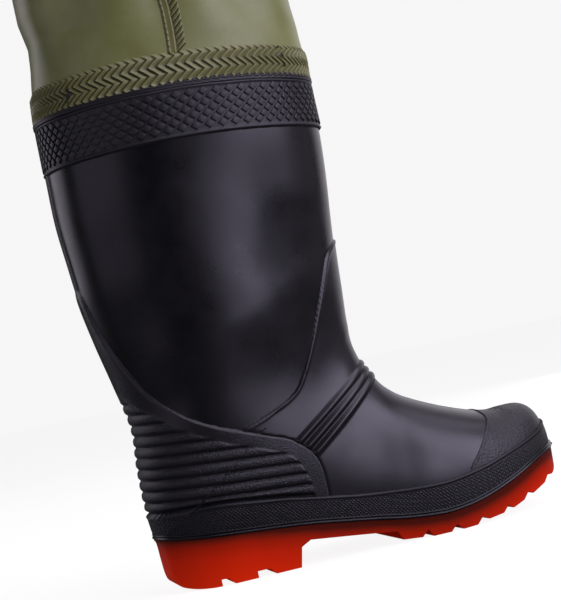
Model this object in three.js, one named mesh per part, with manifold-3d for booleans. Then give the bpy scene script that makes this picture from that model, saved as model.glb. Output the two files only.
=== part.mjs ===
// One wader boot with the lower end of its leg, in millimetres.
// +X points to the toe and +Z up. The pieces are drawn from the back of the heel, and the whole then
// moves back so that the origin lies on the floor under the middle lug of the heel.
import * as THREE from 'three';
import { mergeVertices } from 'three/addons/utils/BufferGeometryUtils.js';
import Module from 'manifold-3d';

const wasm = await Module();
wasm.setup();

// Sizes of the last and the upper
const footLength = 305;
const ballWidth = 96;
const instepHeight = 130;
const shaftHeight = 344;
const shaftDepth = 203.5;
const shaftWidth = 116;
const wall = 2.2;
const gap = 0.3;

// Sizes of the sole
const heelSole = 37.5;
const soleEdge = 4.1;
const soleTaper = 2.4;
const notchDepth = 4.6;
const notchSlope = 4.2;
const notchLean = 4.8;
const shankRise = 17.4;
const channelWidth = 6;
const channelDepth = 3;
const insoleThickness = 3;
const insoleEase = 1.7;

// Sizes of the raised work on the upper
const beadHeight = 3.6;
const beadProud = 4.2;
const foxingHeight = 21.6;
const foxingProud = 2.8;
const counterProud = 2.2;
const counterFloor = 1;
const ribPitch = 7.9;
const ribCount = 9;
const ribGroove = 2.2;
const ribFall = 0.085;
const stayWidth = 15;
const vampProud = 1;
const barProud = 2.3;
const barWidth = 4.4;
const barPitch = 7;
const barCount = 3;
const toeCapProud = 1.7;
const bandHeight = 35.7;
const bandProud = 1.3;
const bandRidge = 2.1;
const bandRidgeTop = 5;
const bandRidgeLow = 3.5;

// Sizes of the leg
const legTop = 462;
const legWall = 1.2;
const legTuck = 14;
const weldHeight = 24;
const weldProud = 0.9;
const seamWidth = 13;
const seamPlace = 72;
const seamLean = 0.06;

// How finely the curved forms are drawn
const ringCount = 26;
const sidePoints = 10;
const outlineCount = 40;

const heightAt = (share) =>
  share <= 1 ? share * instepHeight : instepHeight + (share - 1) * (shaftHeight - instepHeight);

// A table whose rows are read by the names of its columns
const withColumns = (names, rows) =>
  rows.map((row) => Object.fromEntries(row.map((value, k) => [names[k], value])));
const sectionColumns = ['backX', 'backZ', 'frontX', 'frontZ', 'half', 'widest', 'low', 'high', 'shift'];

// Sections of foot and ankle, from the toe back. Each is drawn in the plane through its back point
// (under the foot or up the heel) and its front point (over the toe or up the shin).
// X is a share of the foot's length, half width and shift of the ball's width, and height 1 is the
// instep and height 2 the rim.
const footSections = withColumns(sectionColumns, [
  [1.003, 0.22, 1.003, 0.42, 0.07, 0.5, 2, 2, 0.08],
  [0.997, 0.15, 0.997, 0.48, 0.15, 0.5, 2.2, 2, 0.08],
  [0.982, 0.1, 0.982, 0.534, 0.235, 0.5, 2.4, 2.1, 0.076],
  [0.957, 0.06, 0.957, 0.567, 0.312, 0.5, 2.6, 2.2, 0.068],
  [0.918, 0.015, 0.918, 0.571, 0.384, 0.48, 3, 2.3, 0.056],
  [0.869, -0.046, 0.869, 0.57, 0.442, 0.45, 3, 2.3, 0.036],
  [0.803, -0.08, 0.803, 0.609, 0.482, 0.42, 3, 2.2, 0.018],
  [0.721, -0.1, 0.721, 0.683, 0.499, 0.38, 3, 2.05, 0],
  [0.643, -0.108, 0.652, 0.765, 0.487, 0.37, 3, 1.95, -0.012],
  [0.551, -0.108, 0.611, 0.842, 0.452, 0.37, 3, 1.9, -0.022],
  [0.452, -0.092, 0.585, 0.925, 0.422, 0.38, 2.8, 1.9, -0.026],
  [0.344, -0.046, 0.567, 1.0, 0.412, 0.4, 2.7, 1.9, -0.024],
  [0.236, 0, 0.555, 1.06, 0.417, 0.42, 2.6, 1.9, -0.018],
  [0.131, 0.031, 0.553, 1.102, 0.422, 0.44, 2.5, 1.9, -0.01],
  [0.046, 0.077, 0.555, 1.14, 0.433, 0.45, 2.45, 1.9, -0.004],
  [0.011, 0.23, 0.556, 1.177, 0.443, 0.45, 2.4, 1.9, 0],
  [-0.004, 0.446, 0.558, 1.219, 0.454, 0.45, 2.35, 1.9, 0],
  [-0.005, 0.677, 0.56, 1.265, 0.47, 0.45, 2.3, 1.9, 0],
  [0.0, 0.908, 0.562, 1.321, 0.49, 0.45, 2.25, 1.9, 0],
  [-0.021, 1.093, 0.5645, 1.381, 0.515, 0.45, 2.2, 1.9, 0],
]);

// Sections of the shaft. X is a share of the rim's depth from the middle of the shaft, and half
// width a share of the rim's width.
const shaftMiddle = 0.251 * footLength;
const shaftSections = withColumns(sectionColumns, [
  [-0.443, 1.242, 0.475, 1.456, 0.432, 0.45, 2.2, 1.95],
  [-0.471, 1.386, 0.482, 1.535, 0.452, 0.44, 2.2, 2],
  [-0.487, 1.526, 0.489, 1.614, 0.468, 0.44, 2.2, 2.1],
  [-0.499, 1.66, 0.497, 1.707, 0.484, 0.43, 2.2, 2.1],
  [-0.5, 1.805, 0.502, 1.814, 0.496, 0.43, 2.2, 2.1],
  [-0.5, 1.93, 0.5, 1.93, 0.5, 0.43, 2.2, 2.1],
  [-0.5, 2.04, 0.5, 2.04, 0.5, 0.43, 2.2, 2.1],
]);

const sectionRows = [
  ...footSections.map((s) => [
    s.backX * footLength, heightAt(s.backZ), s.frontX * footLength, heightAt(s.frontZ),
    s.half * ballWidth, s.widest, s.low, s.high, s.shift * ballWidth,
  ]),
  ...shaftSections.map((s) => [
    shaftMiddle + s.backX * shaftDepth, heightAt(s.backZ),
    shaftMiddle + s.frontX * shaftDepth, heightAt(s.frontZ),
    s.half * shaftWidth, s.widest, s.low, s.high, 0,
  ]),
];

// A smooth row between the rows of a table, at any place from 0 to its last row
function rowAt(rows, place) {
  const last = rows.length - 1;
  const i = Math.min(Math.floor(place), last - 1);
  const t = place - i;
  const at = (k) => rows[Math.max(0, Math.min(last, k))];
  const [a, b, c, d] = [at(i - 1), at(i), at(i + 1), at(i + 2)];
  return b.map((v, k) =>
    0.5 * (2 * v + (c[k] - a[k]) * t + (2 * a[k] - 5 * v + 4 * c[k] - d[k]) * t * t
      + (3 * v - a[k] - 3 * c[k] + d[k]) * t * t * t));
}

// A value read from a table of [x, value] rows
function valueAt(table, x) {
  if (x <= table[0][0]) return table[0][1];
  for (let i = 1; i < table.length; i++) {
    const [x0, v0] = table[i - 1];
    const [x1, v1] = table[i];
    if (x <= x1) return v0 + ((v1 - v0) * (x - x0)) / (x1 - x0);
  }
  return table[table.length - 1][1];
}

// One closed section: round from its back point by the -Y side to its front point and back
function sectionRing([backX, backZ, frontX, frontZ, half, widest, low, high, shift], points) {
  const ring = [];
  for (let i = 0; i < 2 * points; i++) {
    const turn = (Math.PI * i) / points - Math.PI / 2;
    const side = Math.cos(turn) < 0 ? 1 : -1;
    const rise = Math.sin(turn);
    const power = 2 / (rise < 0 ? low : high);
    const reach = Math.abs(rise) ** power;
    const along = rise < 0 ? widest * (1 - reach) : widest + (1 - widest) * reach;
    const across = half * Math.abs(Math.cos(turn)) ** power;
    ring.push(new THREE.Vector3(
      backX + (frontX - backX) * along, side * across + shift, backZ + (frontZ - backZ) * along));
  }
  return ring;
}

// Moves every point of a net of rings out along the net's own normals
function offsetRings(rings, distance) {
  const last = rings.length - 1;
  const count = rings[0].length;
  return rings.map((ring, k) => ring.map((point, i) => {
    const along = rings[Math.min(k + 1, last)][i].clone().sub(rings[Math.max(k - 1, 0)][i]);
    const around = ring[(i + 1) % count].clone().sub(ring[(i + count - 1) % count]);
    const normal = around.cross(along).normalize();
    if (k === 0) normal.add(new THREE.Vector3(1, 0, 0)).normalize();
    return point.clone().addScaledVector(normal, distance);
  }));
}

const lastPlace = sectionRows.length - 1;
function netOf(count) {
  return Array.from({ length: count }, (_, k) =>
    sectionRing(rowAt(sectionRows, (lastPlace * k) / (count - 1)), sidePoints));
}
const bootNet = netOf(ringCount);

// Closed meshes and solids
function solidOf(geometry) {
  geometry.deleteAttribute('normal');
  geometry.deleteAttribute('uv');
  const merged = mergeVertices(geometry, 1e-4);
  return new wasm.Manifold(new wasm.Mesh({
    numProp: 3,
    vertProperties: new Float32Array(merged.attributes.position.array),
    triVerts: new Uint32Array(merged.index.array),
  }));
}

function ringSolid(rings) {
  const count = rings[0].length;
  const points = rings.flat();
  const index = [];
  for (let k = 0; k < rings.length - 1; k++) {
    for (let i = 0; i < count; i++) {
      const [a, b] = [k * count + i, k * count + ((i + 1) % count)];
      index.push(a, b, a + count, b, b + count, a + count);
    }
  }
  const cap = (k, flip) => {
    const middle = points.length;
    const centre = rings[k].reduce((sum, p) => sum.add(p), new THREE.Vector3()).divideScalar(count);
    points.push(centre);
    for (let i = 0; i < count; i++) {
      const [a, b] = [k * count + i, k * count + ((i + 1) % count)];
      if (flip) index.push(middle, b, a);
      else index.push(middle, a, b);
    }
  };
  cap(0, true);
  cap(rings.length - 1, false);
  const geometry = new THREE.BufferGeometry().setFromPoints(points);
  geometry.setIndex(index);
  return solidOf(geometry);
}

// A side view shape, cut through the whole width
const cutSpan = 400;
function sideCut(points) {
  const shape = new THREE.Shape(points.map(([x, z]) => new THREE.Vector2(x, z)));
  const geometry = new THREE.ExtrudeGeometry(shape, { depth: cutSpan, bevelEnabled: false });
  geometry.rotateX(Math.PI / 2).translate(0, cutSpan / 2, 0);
  return solidOf(geometry);
}

const smooth = (points, count) =>
  new THREE.SplineCurve(points.map(([x, z]) => new THREE.Vector2(x, z))).getPoints(count)
    .map((p) => [p.x, p.y]);

const form = (distance) => ringSolid(offsetRings(bootNet, distance));

// Height of the top of the sole along the foot, as shares of the foot's length and the heel sole
const weltTable = [
  [-0.06, 1.09], [0, 1], [0.075, 0.93], [0.144, 0.88], [0.285, 0.775], [0.355, 0.705],
  [0.425, 0.613], [0.495, 0.523], [0.56, 0.427], [0.63, 0.365], [0.67, 0.36], [0.725, 0.41],
  [0.78, 0.507], [0.85, 0.68], [0.918, 0.87], [0.97, 0.985], [1.05, 1.09],
].map(([x, z]) => [x * footLength, z * heelSole]);
const weltCurve = smooth(weltTable, 22);
const weltAt = (x) => valueAt(weltCurve, x);
const farX = 1.5 * footLength;
const aboveWelt = (rise, top) =>
  sideCut([...weltCurve.map(([x, z]) => [x, z + rise]), [farX, weltCurve.at(-1)[1] + rise],
    [farX, top], [-farX, top], [-farX, weltCurve[0][1] + rise]]);
const belowWelt = (rise) =>
  sideCut([...weltCurve.map(([x, z]) => [x, z + rise]).reverse(), [-farX, weltCurve[0][1] + rise],
    [-farX, -footLength], [farX, -footLength], [farX, weltCurve.at(-1)[1] + rise]]);

// Plan outline where the upper meets the sole, moved out by an offset
function weltOutline(distance, points) {
  const sides = [[], []];
  const rings = netOf(2 * ringCount);
  for (const ring of rings) {
    [0, 1].forEach((side) => {
      for (let i = 0; i < sidePoints; i++) {
        const a = ring[side ? (2 * sidePoints - i) % (2 * sidePoints) : i];
        const b = ring[side ? 2 * sidePoints - i - 1 : i + 1];
        const [da, db] = [a.z - weltAt(a.x), b.z - weltAt(b.x)];
        if (da < 0 && db >= 0) {
          const p = a.clone().lerp(b, da / (da - db));
          sides[side].push(new THREE.Vector3(p.x, p.y, 0));
          break;
        }
      }
    });
  }
  const heelRing = rings.findIndex(([back], k) => k > ringCount && back.z >= weltAt(back.x));
  const [under, over] = [rings[heelRing - 1][0], rings[heelRing][0]];
  const depth = weltAt(under.x) - under.z;
  const heelPoint = under.clone().lerp(over, depth / (depth + over.z - weltAt(over.x))).setZ(0);
  const loop = [...sides[0], heelPoint, ...sides[1].reverse()];
  const curve = new THREE.CatmullRomCurve3(loop, true, 'centripetal');
  const even = curve.getSpacedPoints(points).slice(0, points);
  return even.map((p, i) => {
    const along = even[(i + 1) % points].clone().sub(even[(i + points - 1) % points]).normalize();
    return new THREE.Vector2(p.x - along.y * distance, p.y + along.x * distance);
  });
}

// A solid that stands on a plan outline and leads over to a second outline at its top
function planSolid(lowOutline, highOutline, low, high) {
  const ring = (outline, z) => outline.map((p) => new THREE.Vector3(p.x, p.y, z)).reverse();
  return ringSolid([ring(lowOutline, low), ring(highOutline, high)]);
}

const planColumn = (outline) => planSolid(outline, outline, -heelSole, 3 * heelSole);

const parts = new THREE.Group();
function addPart(name, solid, material) {
  const mesh = solid.getMesh();
  const geometry = new THREE.BufferGeometry();
  geometry.setAttribute('position', new THREE.BufferAttribute(mesh.vertProperties, 3));
  geometry.setIndex(new THREE.BufferAttribute(mesh.triVerts, 1));
  const part = new THREE.Mesh(geometry, material);
  part.name = name;
  parts.add(part);
}

const blackRubber = new THREE.MeshStandardMaterial({ color: 0x25242a, roughness: 0.45, metalness: 0 });
const redRubber = new THREE.MeshStandardMaterial({ color: 0xc8321a, roughness: 0.3, metalness: 0 });
const innerCloth = new THREE.MeshStandardMaterial({ color: 0x3c3b3a, roughness: 0.9, metalness: 0 });
const greenCloth = new THREE.MeshStandardMaterial({ color: 0x737544, roughness: 0.6, metalness: 0 });

// Upper: one hollow shell, open at the rim and over the sole
const between = (low, high) => sideCut([[-farX, low], [farX, low], [farX, high], [-farX, high]]);
const shell = (inner, outer) => form(outer).subtract(form(inner));
const upper = shell(-wall, 0).intersect(aboveWelt(gap, 2 * shaftHeight))
  .intersect(between(-footLength, shaftHeight));
addPart('upper', upper, blackRubber);

// Insole: lies on the sole inside the upper
const insole = planColumn(weltOutline(-wall - insoleEase, outlineCount))
  .intersect(aboveWelt(gap, shaftHeight)).intersect(belowWelt(gap + insoleThickness));
addPart('insole', insole, innerCloth);

// Outsole. Each lug has its start, its end and the lift of both off the floor.
// X is a share of the foot's length and lift a share of the heel sole.
const heelLugs = [
  { from: 0.072, to: 0.106, fromLift: 0, toLift: 0 },
  { from: 0.136, to: 0.19, fromLift: 0, toLift: 0 },
  { from: 0.233, to: 0.298, fromLift: 0, toLift: 0 },
];
const ballLugs = [
  { from: 0.541, to: 0.586, fromLift: 0.06, toLift: 0.025 },
  { from: 0.613, to: 0.656, fromLift: 0, toLift: 0 },
  { from: 0.687, to: 0.723, fromLift: 0, toLift: 0.01 },
  { from: 0.756, to: 0.797, fromLift: 0.064, toLift: 0.1 },
  { from: 0.8265, to: 0.861, fromLift: 0.144, toLift: 0.23 },
  { from: 0.8925, to: 0.939, fromLift: 0.3, toLift: 0.42 },
  { from: 0.974, to: 0.9855, fromLift: 0.525, toLift: 0.56 },
];
// The rounded back of the heel, from the welt down to the floor, in the same shares
const heelBack = [[-0.006, 0.98], [0.003, 0.9], [0.007, 0.55], [0.012, 0.3], [0.022, 0.133], [0.04, 0.04]];
// The shank rises from the heel breast and falls to the first lug of the ball
const shank = [[0.298, 0.37], [0.325, shankRise / heelSole], [0.53, 0.24]];
const sharePoint = ([x, z]) => [x * footLength, z * heelSole];
// Notches between lugs: square behind and sloped in front at the heel, pointed at the ball
function lugPoints(lugs, lean, slope) {
  return lugs.flatMap(({ from, to, fromLift, toLift }, i) => {
    const [x0, z0] = sharePoint([from, fromLift]);
    const [x1, z1] = sharePoint([to, toLift]);
    const points = [[x0, z0], [x1, z1]];
    if (i > 0 && slope > 0) points.unshift([x0 - slope, z0 + notchDepth]);
    if (i < lugs.length - 1) points.push([x1 + lean, z1 + notchDepth]);
    return points;
  });
}
const toeFront = [[0.9987, 0.64], [1.007, 0.86], [1.02, 1.05]];
const treadLine = [
  ...heelBack.map(sharePoint), ...lugPoints(heelLugs, 0, notchSlope), ...shank.map(sharePoint),
  ...lugPoints(ballLugs, notchLean, 0), ...toeFront.map(sharePoint),
];
const soleProfile = sideCut([...treadLine, ...weltCurve.slice().reverse()
  .filter(([x]) => x > -0.02 * footLength && x < 1.04 * footLength)]);
const soleBlock = planSolid(
  weltOutline(soleEdge - soleTaper, outlineCount), weltOutline(soleEdge, outlineCount), 0, 1.3 * heelSole);
// A channel runs along the middle of the tread under the ball
const middleAt = (x) => valueAt([...footSections].reverse().slice(5)
  .map((s) => [s.backX * footLength, s.shift * ballWidth]), x);
function channel(lugs) {
  const floor = lugs.flatMap((l) => [sharePoint([l.from, l.fromLift]), sharePoint([l.to, l.toLift])]);
  const [start, end] = [floor[0][0], floor.at(-1)[0]];
  const strip = floor.map(([x]) => [x, middleAt(x)]);
  const shape = new THREE.Shape([
    ...strip.map(([x, y]) => new THREE.Vector2(x, y - channelWidth / 2)),
    ...strip.reverse().map(([x, y]) => new THREE.Vector2(x, y + channelWidth / 2)),
  ]);
  const plan = solidOf(new THREE.ExtrudeGeometry(shape, { depth: 4 * heelSole, bevelEnabled: false })
    .translate(0, 0, -2 * heelSole));
  return plan.intersect(sideCut([[start - 1, -heelSole], ...floor.map(([x, z]) => [x, z + channelDepth]),
    [end, -heelSole]]));
}
const outsole = soleBlock.intersect(soleProfile).subtract(channel(ballLugs.slice(0, -1)));
addPart('outsole', outsole, redRubber);

// Bead and foxing round the foot, over the joint of upper and sole
const beadTop = gap + beadHeight;
const bead = planColumn(weltOutline(beadProud, outlineCount)).intersect(aboveWelt(gap, shaftHeight))
  .intersect(belowWelt(beadTop)).subtract(form(gap));
addPart('welt_bead', bead, blackRubber);
const foxingTable = [
  [-0.05, 0.86], [0, 0.88], [0.05, 0.98], [0.13, 1.07], [0.2, 1.05], [0.285, 1], [0.36, 0.94], [0.46, 0.92],
  [0.53, 0.98], [0.6, 1.04], [0.67, 1.07], [0.73, 1.06], [0.78, 1.02], [0.835, 0.97], [0.9, 0.88],
  [0.95, 0.86], [0.985, 0.96], [1.04, 1.1],
].map(([x, share]) => [x * footLength, weltAt(x * footLength) + share * foxingHeight]);
const foxingLine = smooth(foxingTable, 18);
const foxingSide = (rise, sky) => sideCut([
  ...foxingLine.map(([x, z]) => [x, z + rise]), [farX, foxingLine.at(-1)[1] + rise], [farX, sky],
  [-farX, sky], [-farX, foxingLine[0][1] + rise]]);
const foxing = shell(gap, foxingProud).intersect(aboveWelt(beadTop + gap, shaftHeight))
  .subtract(foxingSide(0, shaftHeight));
addPart('foxing', foxing, blackRubber);
const overFoxing = foxingSide(gap, 2 * shaftHeight);

// Heel counter: ribs under a strap that sweeps down from the back stay to the foxing
const edgePoint = ([x, z]) => [x * footLength, heightAt(z)];
const strapEdge = smooth([
  [-0.066, 1.44], [-0.0525, 1.35], [-0.04, 1.28], [-0.026, 1.22], [-0.01, 1.164], [0.008, 1.112],
  [0.037, 1.04], [0.098, 0.923], [0.161, 0.84], [0.216, 0.79], [0.279, 0.732], [0.322, 0.694],
  [0.35, 0.648], [0.374, 0.59], [0.387, 0.518], [0.391, 0.434], [0.392, 0.357], [0.392, 0.2],
].map(edgePoint), 17);
const ribEdge = smooth([
  [-0.03, 1.08], [0.009, 1.007], [0.038, 0.959], [0.062, 0.898], [0.095, 0.846], [0.139, 0.786],
  [0.184, 0.733], [0.239, 0.687], [0.279, 0.648], [0.308, 0.618], [0.328, 0.579], [0.341, 0.525],
  [0.3525, 0.448], [0.356, 0.376], [0.357, 0.2],
].map(edgePoint), 11);
const behind = (edge, shift) => sideCut([
  ...edge.map(([x, z]) => [x + shift, z + shift]), [-farX, edge.at(-1)[1]], [-farX, edge[0][1] + shift]]);
const stayLow = instepHeight;
const stayTop = shaftHeight - bandHeight - gap;
const stay = solidOf(new THREE.BoxGeometry(2 * shaftDepth, stayWidth, stayTop - stayLow)
  .translate(shaftMiddle - shaftDepth, 0, (stayTop + stayLow) / 2));
const ribLow = valueAt(foxingLine, 0) + 0.4 * ribPitch;
const grooves = Array.from({ length: ribCount }, (_, k) => {
  const z = ribLow + k * ribPitch;
  const reach = 0.5 * footLength;
  const half = ribGroove / 2;
  return sideCut([[-reach, z - half + ribFall * reach], [reach, z - half - ribFall * reach],
    [reach, z + half - ribFall * reach], [-reach, z + half + ribFall * reach]]);
});
const grooved = grooves.reduce((sum, g) => sum.add(g)).intersect(behind(ribEdge, 0))
  .subtract(form(counterFloor));
const counter = form(counterProud).intersect(behind(strapEdge, 0).add(stay)).subtract(form(gap))
  .intersect(overFoxing).subtract(grooved);
addPart('heel_counter', counter, blackRubber);

// Vamp panel with its raised edge line and the three bars over the instep
const vampEdge = smooth([
  [0.17, 0.75], [0.216, 0.792], [0.292, 0.85], [0.36, 0.925], [0.396, 1.02], [0.43, 1.112], [0.456, 1.192],
  [0.475, 1.25], [0.497, 1.322], [0.518, 1.382], [0.548, 1.422], [0.575, 1.446], [0.62, 1.46],
].map(edgePoint), 12);
const vampRegion = sideCut([
  ...vampEdge, [farX, vampEdge.at(-1)[1]], [farX, -footLength], [vampEdge[0][0], -footLength]]);
const capEdge = smooth([
  [0.7, 0.12], [0.732, 0.3], [0.768, 0.39], [0.8, 0.469], [0.82, 0.52], [0.83, 0.552], [0.825, 0.59],
  [0.808, 0.62], [0.785, 0.66], [0.775, 0.8],
].map(edgePoint), 10);
const capRegion = (shift) => sideCut([
  ...capEdge.map(([x, z]) => [x + shift, z]), [farX, capEdge.at(-1)[1]], [farX, -footLength],
  [capEdge[0][0] + shift, -footLength]]);
// Ends of the highest bar as edge shares, and the way from each bar's end to the next, in bar pitches
const barLine = { from: [0.335, 0.645], to: [0.6, 1.03], fromStep: [0.7, -0.78], toStep: [0.3, -0.75] };
const barEnd = (place, step, k) =>
  new THREE.Vector2(...edgePoint(place)).add(new THREE.Vector2(...step).multiplyScalar(k * barPitch));
const bars = Array.from({ length: barCount }, (_, k) => {
  const from = barEnd(barLine.from, barLine.fromStep, k);
  const to = barEnd(barLine.to, barLine.toStep, k);
  const across = to.clone().sub(from).normalize().multiplyScalar(barWidth / 2);
  return sideCut([[from.x + across.y, from.y - across.x], [to.x + across.y, to.y - across.x],
    [to.x - across.y, to.y + across.x], [from.x - across.y, from.y + across.x]]);
});
const vamp = form(vampProud).intersect(vampRegion)
  .add(form(barProud).intersect(bars.reduce((sum, bar) => sum.add(bar))))
  .subtract(form(gap)).intersect(overFoxing).subtract(behind(strapEdge, gap)).subtract(capRegion(-gap));
addPart('vamp_panel', vamp, blackRubber);
const toeCap = shell(gap, toeCapProud).intersect(capRegion(0)).intersect(overFoxing);
addPart('toe_cap', toeCap, blackRubber);

// Collar band: a ring with a ridge along its top and its lower edge
const bandLow = shaftHeight - bandHeight;
const band = form(bandProud).intersect(between(bandLow, shaftHeight))
  .add(form(bandRidge).intersect(between(shaftHeight - bandRidgeTop, shaftHeight)))
  .add(form(bandRidge).intersect(between(bandLow, bandLow + bandRidgeLow)))
  .subtract(form(gap));
addPart('collar_band', band, blackRubber);

// Leg: a cloth tube that is tucked into the rim and stands up from it. X and half width are shares
// as in the shaft's table, and rise is a share of the leg's height over the rim.
const tuckIn = wall + gap;
const legRise = legTop - shaftHeight;
const rimLip = 1.6;
const legSections = [
  { rise: rimLip / legRise, backX: -0.502, frontX: 0.502, half: 0.492 },
  { rise: 0.12, backX: -0.498, frontX: 0.505, half: 0.497 },
  { rise: 0.32, backX: -0.483, frontX: 0.495, half: 0.492 },
  { rise: 0.46, backX: -0.477, frontX: 0.484, half: 0.485 },
  { rise: 0.62, backX: -0.494, frontX: 0.477, half: 0.484 },
  { rise: 1.02, backX: -0.493, frontX: 0.483, half: 0.49 },
];
const legShape = [0.43, 2.2, 2.1, 0];
const tucked = offsetRings(bootNet, -tuckIn).slice(-2);
tucked.at(-1).forEach((point) => point.setZ(shaftHeight + gap));
const legNet = [
  ...tucked,
  ...legSections.map(({ rise, backX, frontX, half }) => {
    const z = shaftHeight + rise * legRise;
    return sectionRing([shaftMiddle + backX * shaftDepth, z, shaftMiddle + frontX * shaftDepth, z,
      half * shaftWidth, ...legShape], sidePoints);
  }),
];
const legForm = (distance) => ringSolid(legNet.map((ring) => {
  const count = ring.length;
  return ring.map((point, i) => {
    const around = ring[(i + 1) % count].clone().sub(ring[(i + count - 1) % count]);
    return point.clone().addScaledVector(new THREE.Vector3(around.y, -around.x, 0).normalize(), distance);
  });
}));
const leg = legForm(0).subtract(legForm(-legWall)).intersect(between(shaftHeight - legTuck, legTop));
addPart('leg', leg, greenCloth);

// Tapes welded on the leg: one round the rim and one up the seam
const weldLow = shaftHeight + rimLip + gap;
const weldTop = weldLow + weldHeight;
const tapeShell = legForm(weldProud).subtract(legForm(gap));
addPart('weld_tape', tapeShell.intersect(between(weldLow, weldTop)), greenCloth);
const seamLow = weldTop + gap;
const seamShift = seamLean * (legTop - seamLow);
const seamCut = sideCut([
  [seamPlace - seamWidth / 2, seamLow], [seamPlace + seamWidth / 2, seamLow],
  [seamPlace + seamWidth / 2 + seamShift, legTop], [seamPlace - seamWidth / 2 + seamShift, legTop]]);
const nearSide = planSolid(...Array(2).fill([[-farX, 0], [farX, 0], [farX, -farX], [-farX, -farX]]
  .map(([x, y]) => new THREE.Vector2(x, y))), 0, 2 * legTop);
addPart('leg_seam_tape', tapeShell.intersect(seamCut).intersect(nearSide), greenCloth);

// The origin lies on the middle lug of the heel
parts.position.x = (-footLength * (heelLugs[1].from + heelLugs[1].to)) / 2;

export default parts;
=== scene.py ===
import math
import bmesh
import bpy
import numpy as np
from mathutils import Matrix, Vector


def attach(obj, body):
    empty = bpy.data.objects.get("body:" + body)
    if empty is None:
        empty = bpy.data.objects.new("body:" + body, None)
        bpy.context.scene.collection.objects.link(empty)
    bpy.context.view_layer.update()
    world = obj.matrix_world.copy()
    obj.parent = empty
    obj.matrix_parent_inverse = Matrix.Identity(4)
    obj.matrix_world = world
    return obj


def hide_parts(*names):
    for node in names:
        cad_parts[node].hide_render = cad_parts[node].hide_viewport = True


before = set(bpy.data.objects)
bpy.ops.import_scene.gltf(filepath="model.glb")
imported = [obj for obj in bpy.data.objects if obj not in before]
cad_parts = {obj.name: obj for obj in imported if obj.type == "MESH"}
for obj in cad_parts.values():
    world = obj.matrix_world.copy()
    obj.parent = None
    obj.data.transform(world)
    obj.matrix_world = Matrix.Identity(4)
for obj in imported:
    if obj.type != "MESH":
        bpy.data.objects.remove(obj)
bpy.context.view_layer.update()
print("frame loaded")

# The camera first: the photograph's angle, in metres and degrees
view = {
    "lens": 89.88, "target": (0.0749, 0, 0.1873), "distance": 1.1, "turn": 15.5, "rise": -1.6, "roll": -11.75,
}


def addCamera(values):
    turn, rise, roll = (math.radians(values[key]) for key in ("turn", "rise", "roll"))
    back = Vector((-math.sin(turn) * math.cos(rise), -math.cos(turn) * math.cos(rise), math.sin(rise)))
    level = Vector((0, 0, 1)).cross(back).normalized()
    upright = back.cross(level)
    right = level * math.cos(roll) + upright * math.sin(roll)
    up = upright * math.cos(roll) - level * math.sin(roll)
    data = bpy.data.cameras.new("camera")
    data.lens = values["lens"]
    data.sensor_width = 36
    data.clip_start = 0.01
    camera = bpy.data.objects.new("camera", data)
    camera.matrix_world = Matrix.Translation(Vector(values["target"]) + back * values["distance"]) @ Matrix(
        (right, up, back)).transposed().to_4x4()
    bpy.context.scene.collection.objects.link(camera)
    bpy.context.scene.camera = camera


addCamera(view)

# Sizes of the boot, in millimetres, drawn from the back of the heel
boot = {
    "footLength": 305, "ballWidth": 96, "instepHeight": 130, "shaftHeight": 344, "shaftDepth": 203.5,
    "shaftWidth": 116, "wall": 2.2, "heelSole": 37.5, "soleEdge": 4.1, "soleTaper": 2.4, "originX": 49.715,
}
footLength, heelSole = boot["footLength"], boot["heelSole"]
shaftMiddle = 0.251 * footLength

# Back X, back Z, front X, front Z, half width, widest place, low power, high power, shift
footSections = [
    (1.0055, 0.33, 1.0055, 0.33, 0.0, 0.5, 2, 2, 0.08),
    (1.003, 0.22, 1.003, 0.42, 0.07, 0.5, 2, 2, 0.08),
    (0.997, 0.15, 0.997, 0.48, 0.15, 0.5, 2.2, 2, 0.08),
    (0.982, 0.1, 0.982, 0.534, 0.235, 0.5, 2.4, 2.1, 0.076),
    (0.957, 0.06, 0.957, 0.567, 0.312, 0.5, 2.6, 2.2, 0.068),
    (0.918, 0.015, 0.918, 0.571, 0.384, 0.48, 3, 2.3, 0.056),
    (0.869, -0.046, 0.869, 0.57, 0.442, 0.45, 3, 2.3, 0.036),
    (0.803, -0.08, 0.803, 0.609, 0.482, 0.42, 3, 2.2, 0.018),
    (0.721, -0.1, 0.721, 0.683, 0.499, 0.38, 3, 2.05, 0),
    (0.643, -0.108, 0.652, 0.765, 0.487, 0.37, 3, 1.95, -0.012),
    (0.551, -0.108, 0.611, 0.842, 0.452, 0.37, 3, 1.9, -0.022),
    (0.452, -0.092, 0.585, 0.925, 0.422, 0.38, 2.8, 1.9, -0.026),
    (0.344, -0.046, 0.567, 1.0, 0.412, 0.4, 2.7, 1.9, -0.024),
    (0.236, 0, 0.555, 1.06, 0.417, 0.42, 2.6, 1.9, -0.018),
    (0.131, 0.031, 0.553, 1.102, 0.422, 0.44, 2.5, 1.9, -0.01),
    (0.046, 0.077, 0.555, 1.14, 0.433, 0.45, 2.45, 1.9, -0.004),
    (0.011, 0.23, 0.556, 1.177, 0.443, 0.45, 2.4, 1.9, 0),
    (-0.004, 0.446, 0.558, 1.219, 0.454, 0.45, 2.35, 1.9, 0),
    (-0.005, 0.677, 0.56, 1.265, 0.47, 0.45, 2.3, 1.9, 0),
    (0.0, 0.908, 0.562, 1.321, 0.49, 0.45, 2.25, 1.9, 0),
    (-0.021, 1.093, 0.5645, 1.381, 0.515, 0.45, 2.2, 1.9, 0),
]
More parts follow.
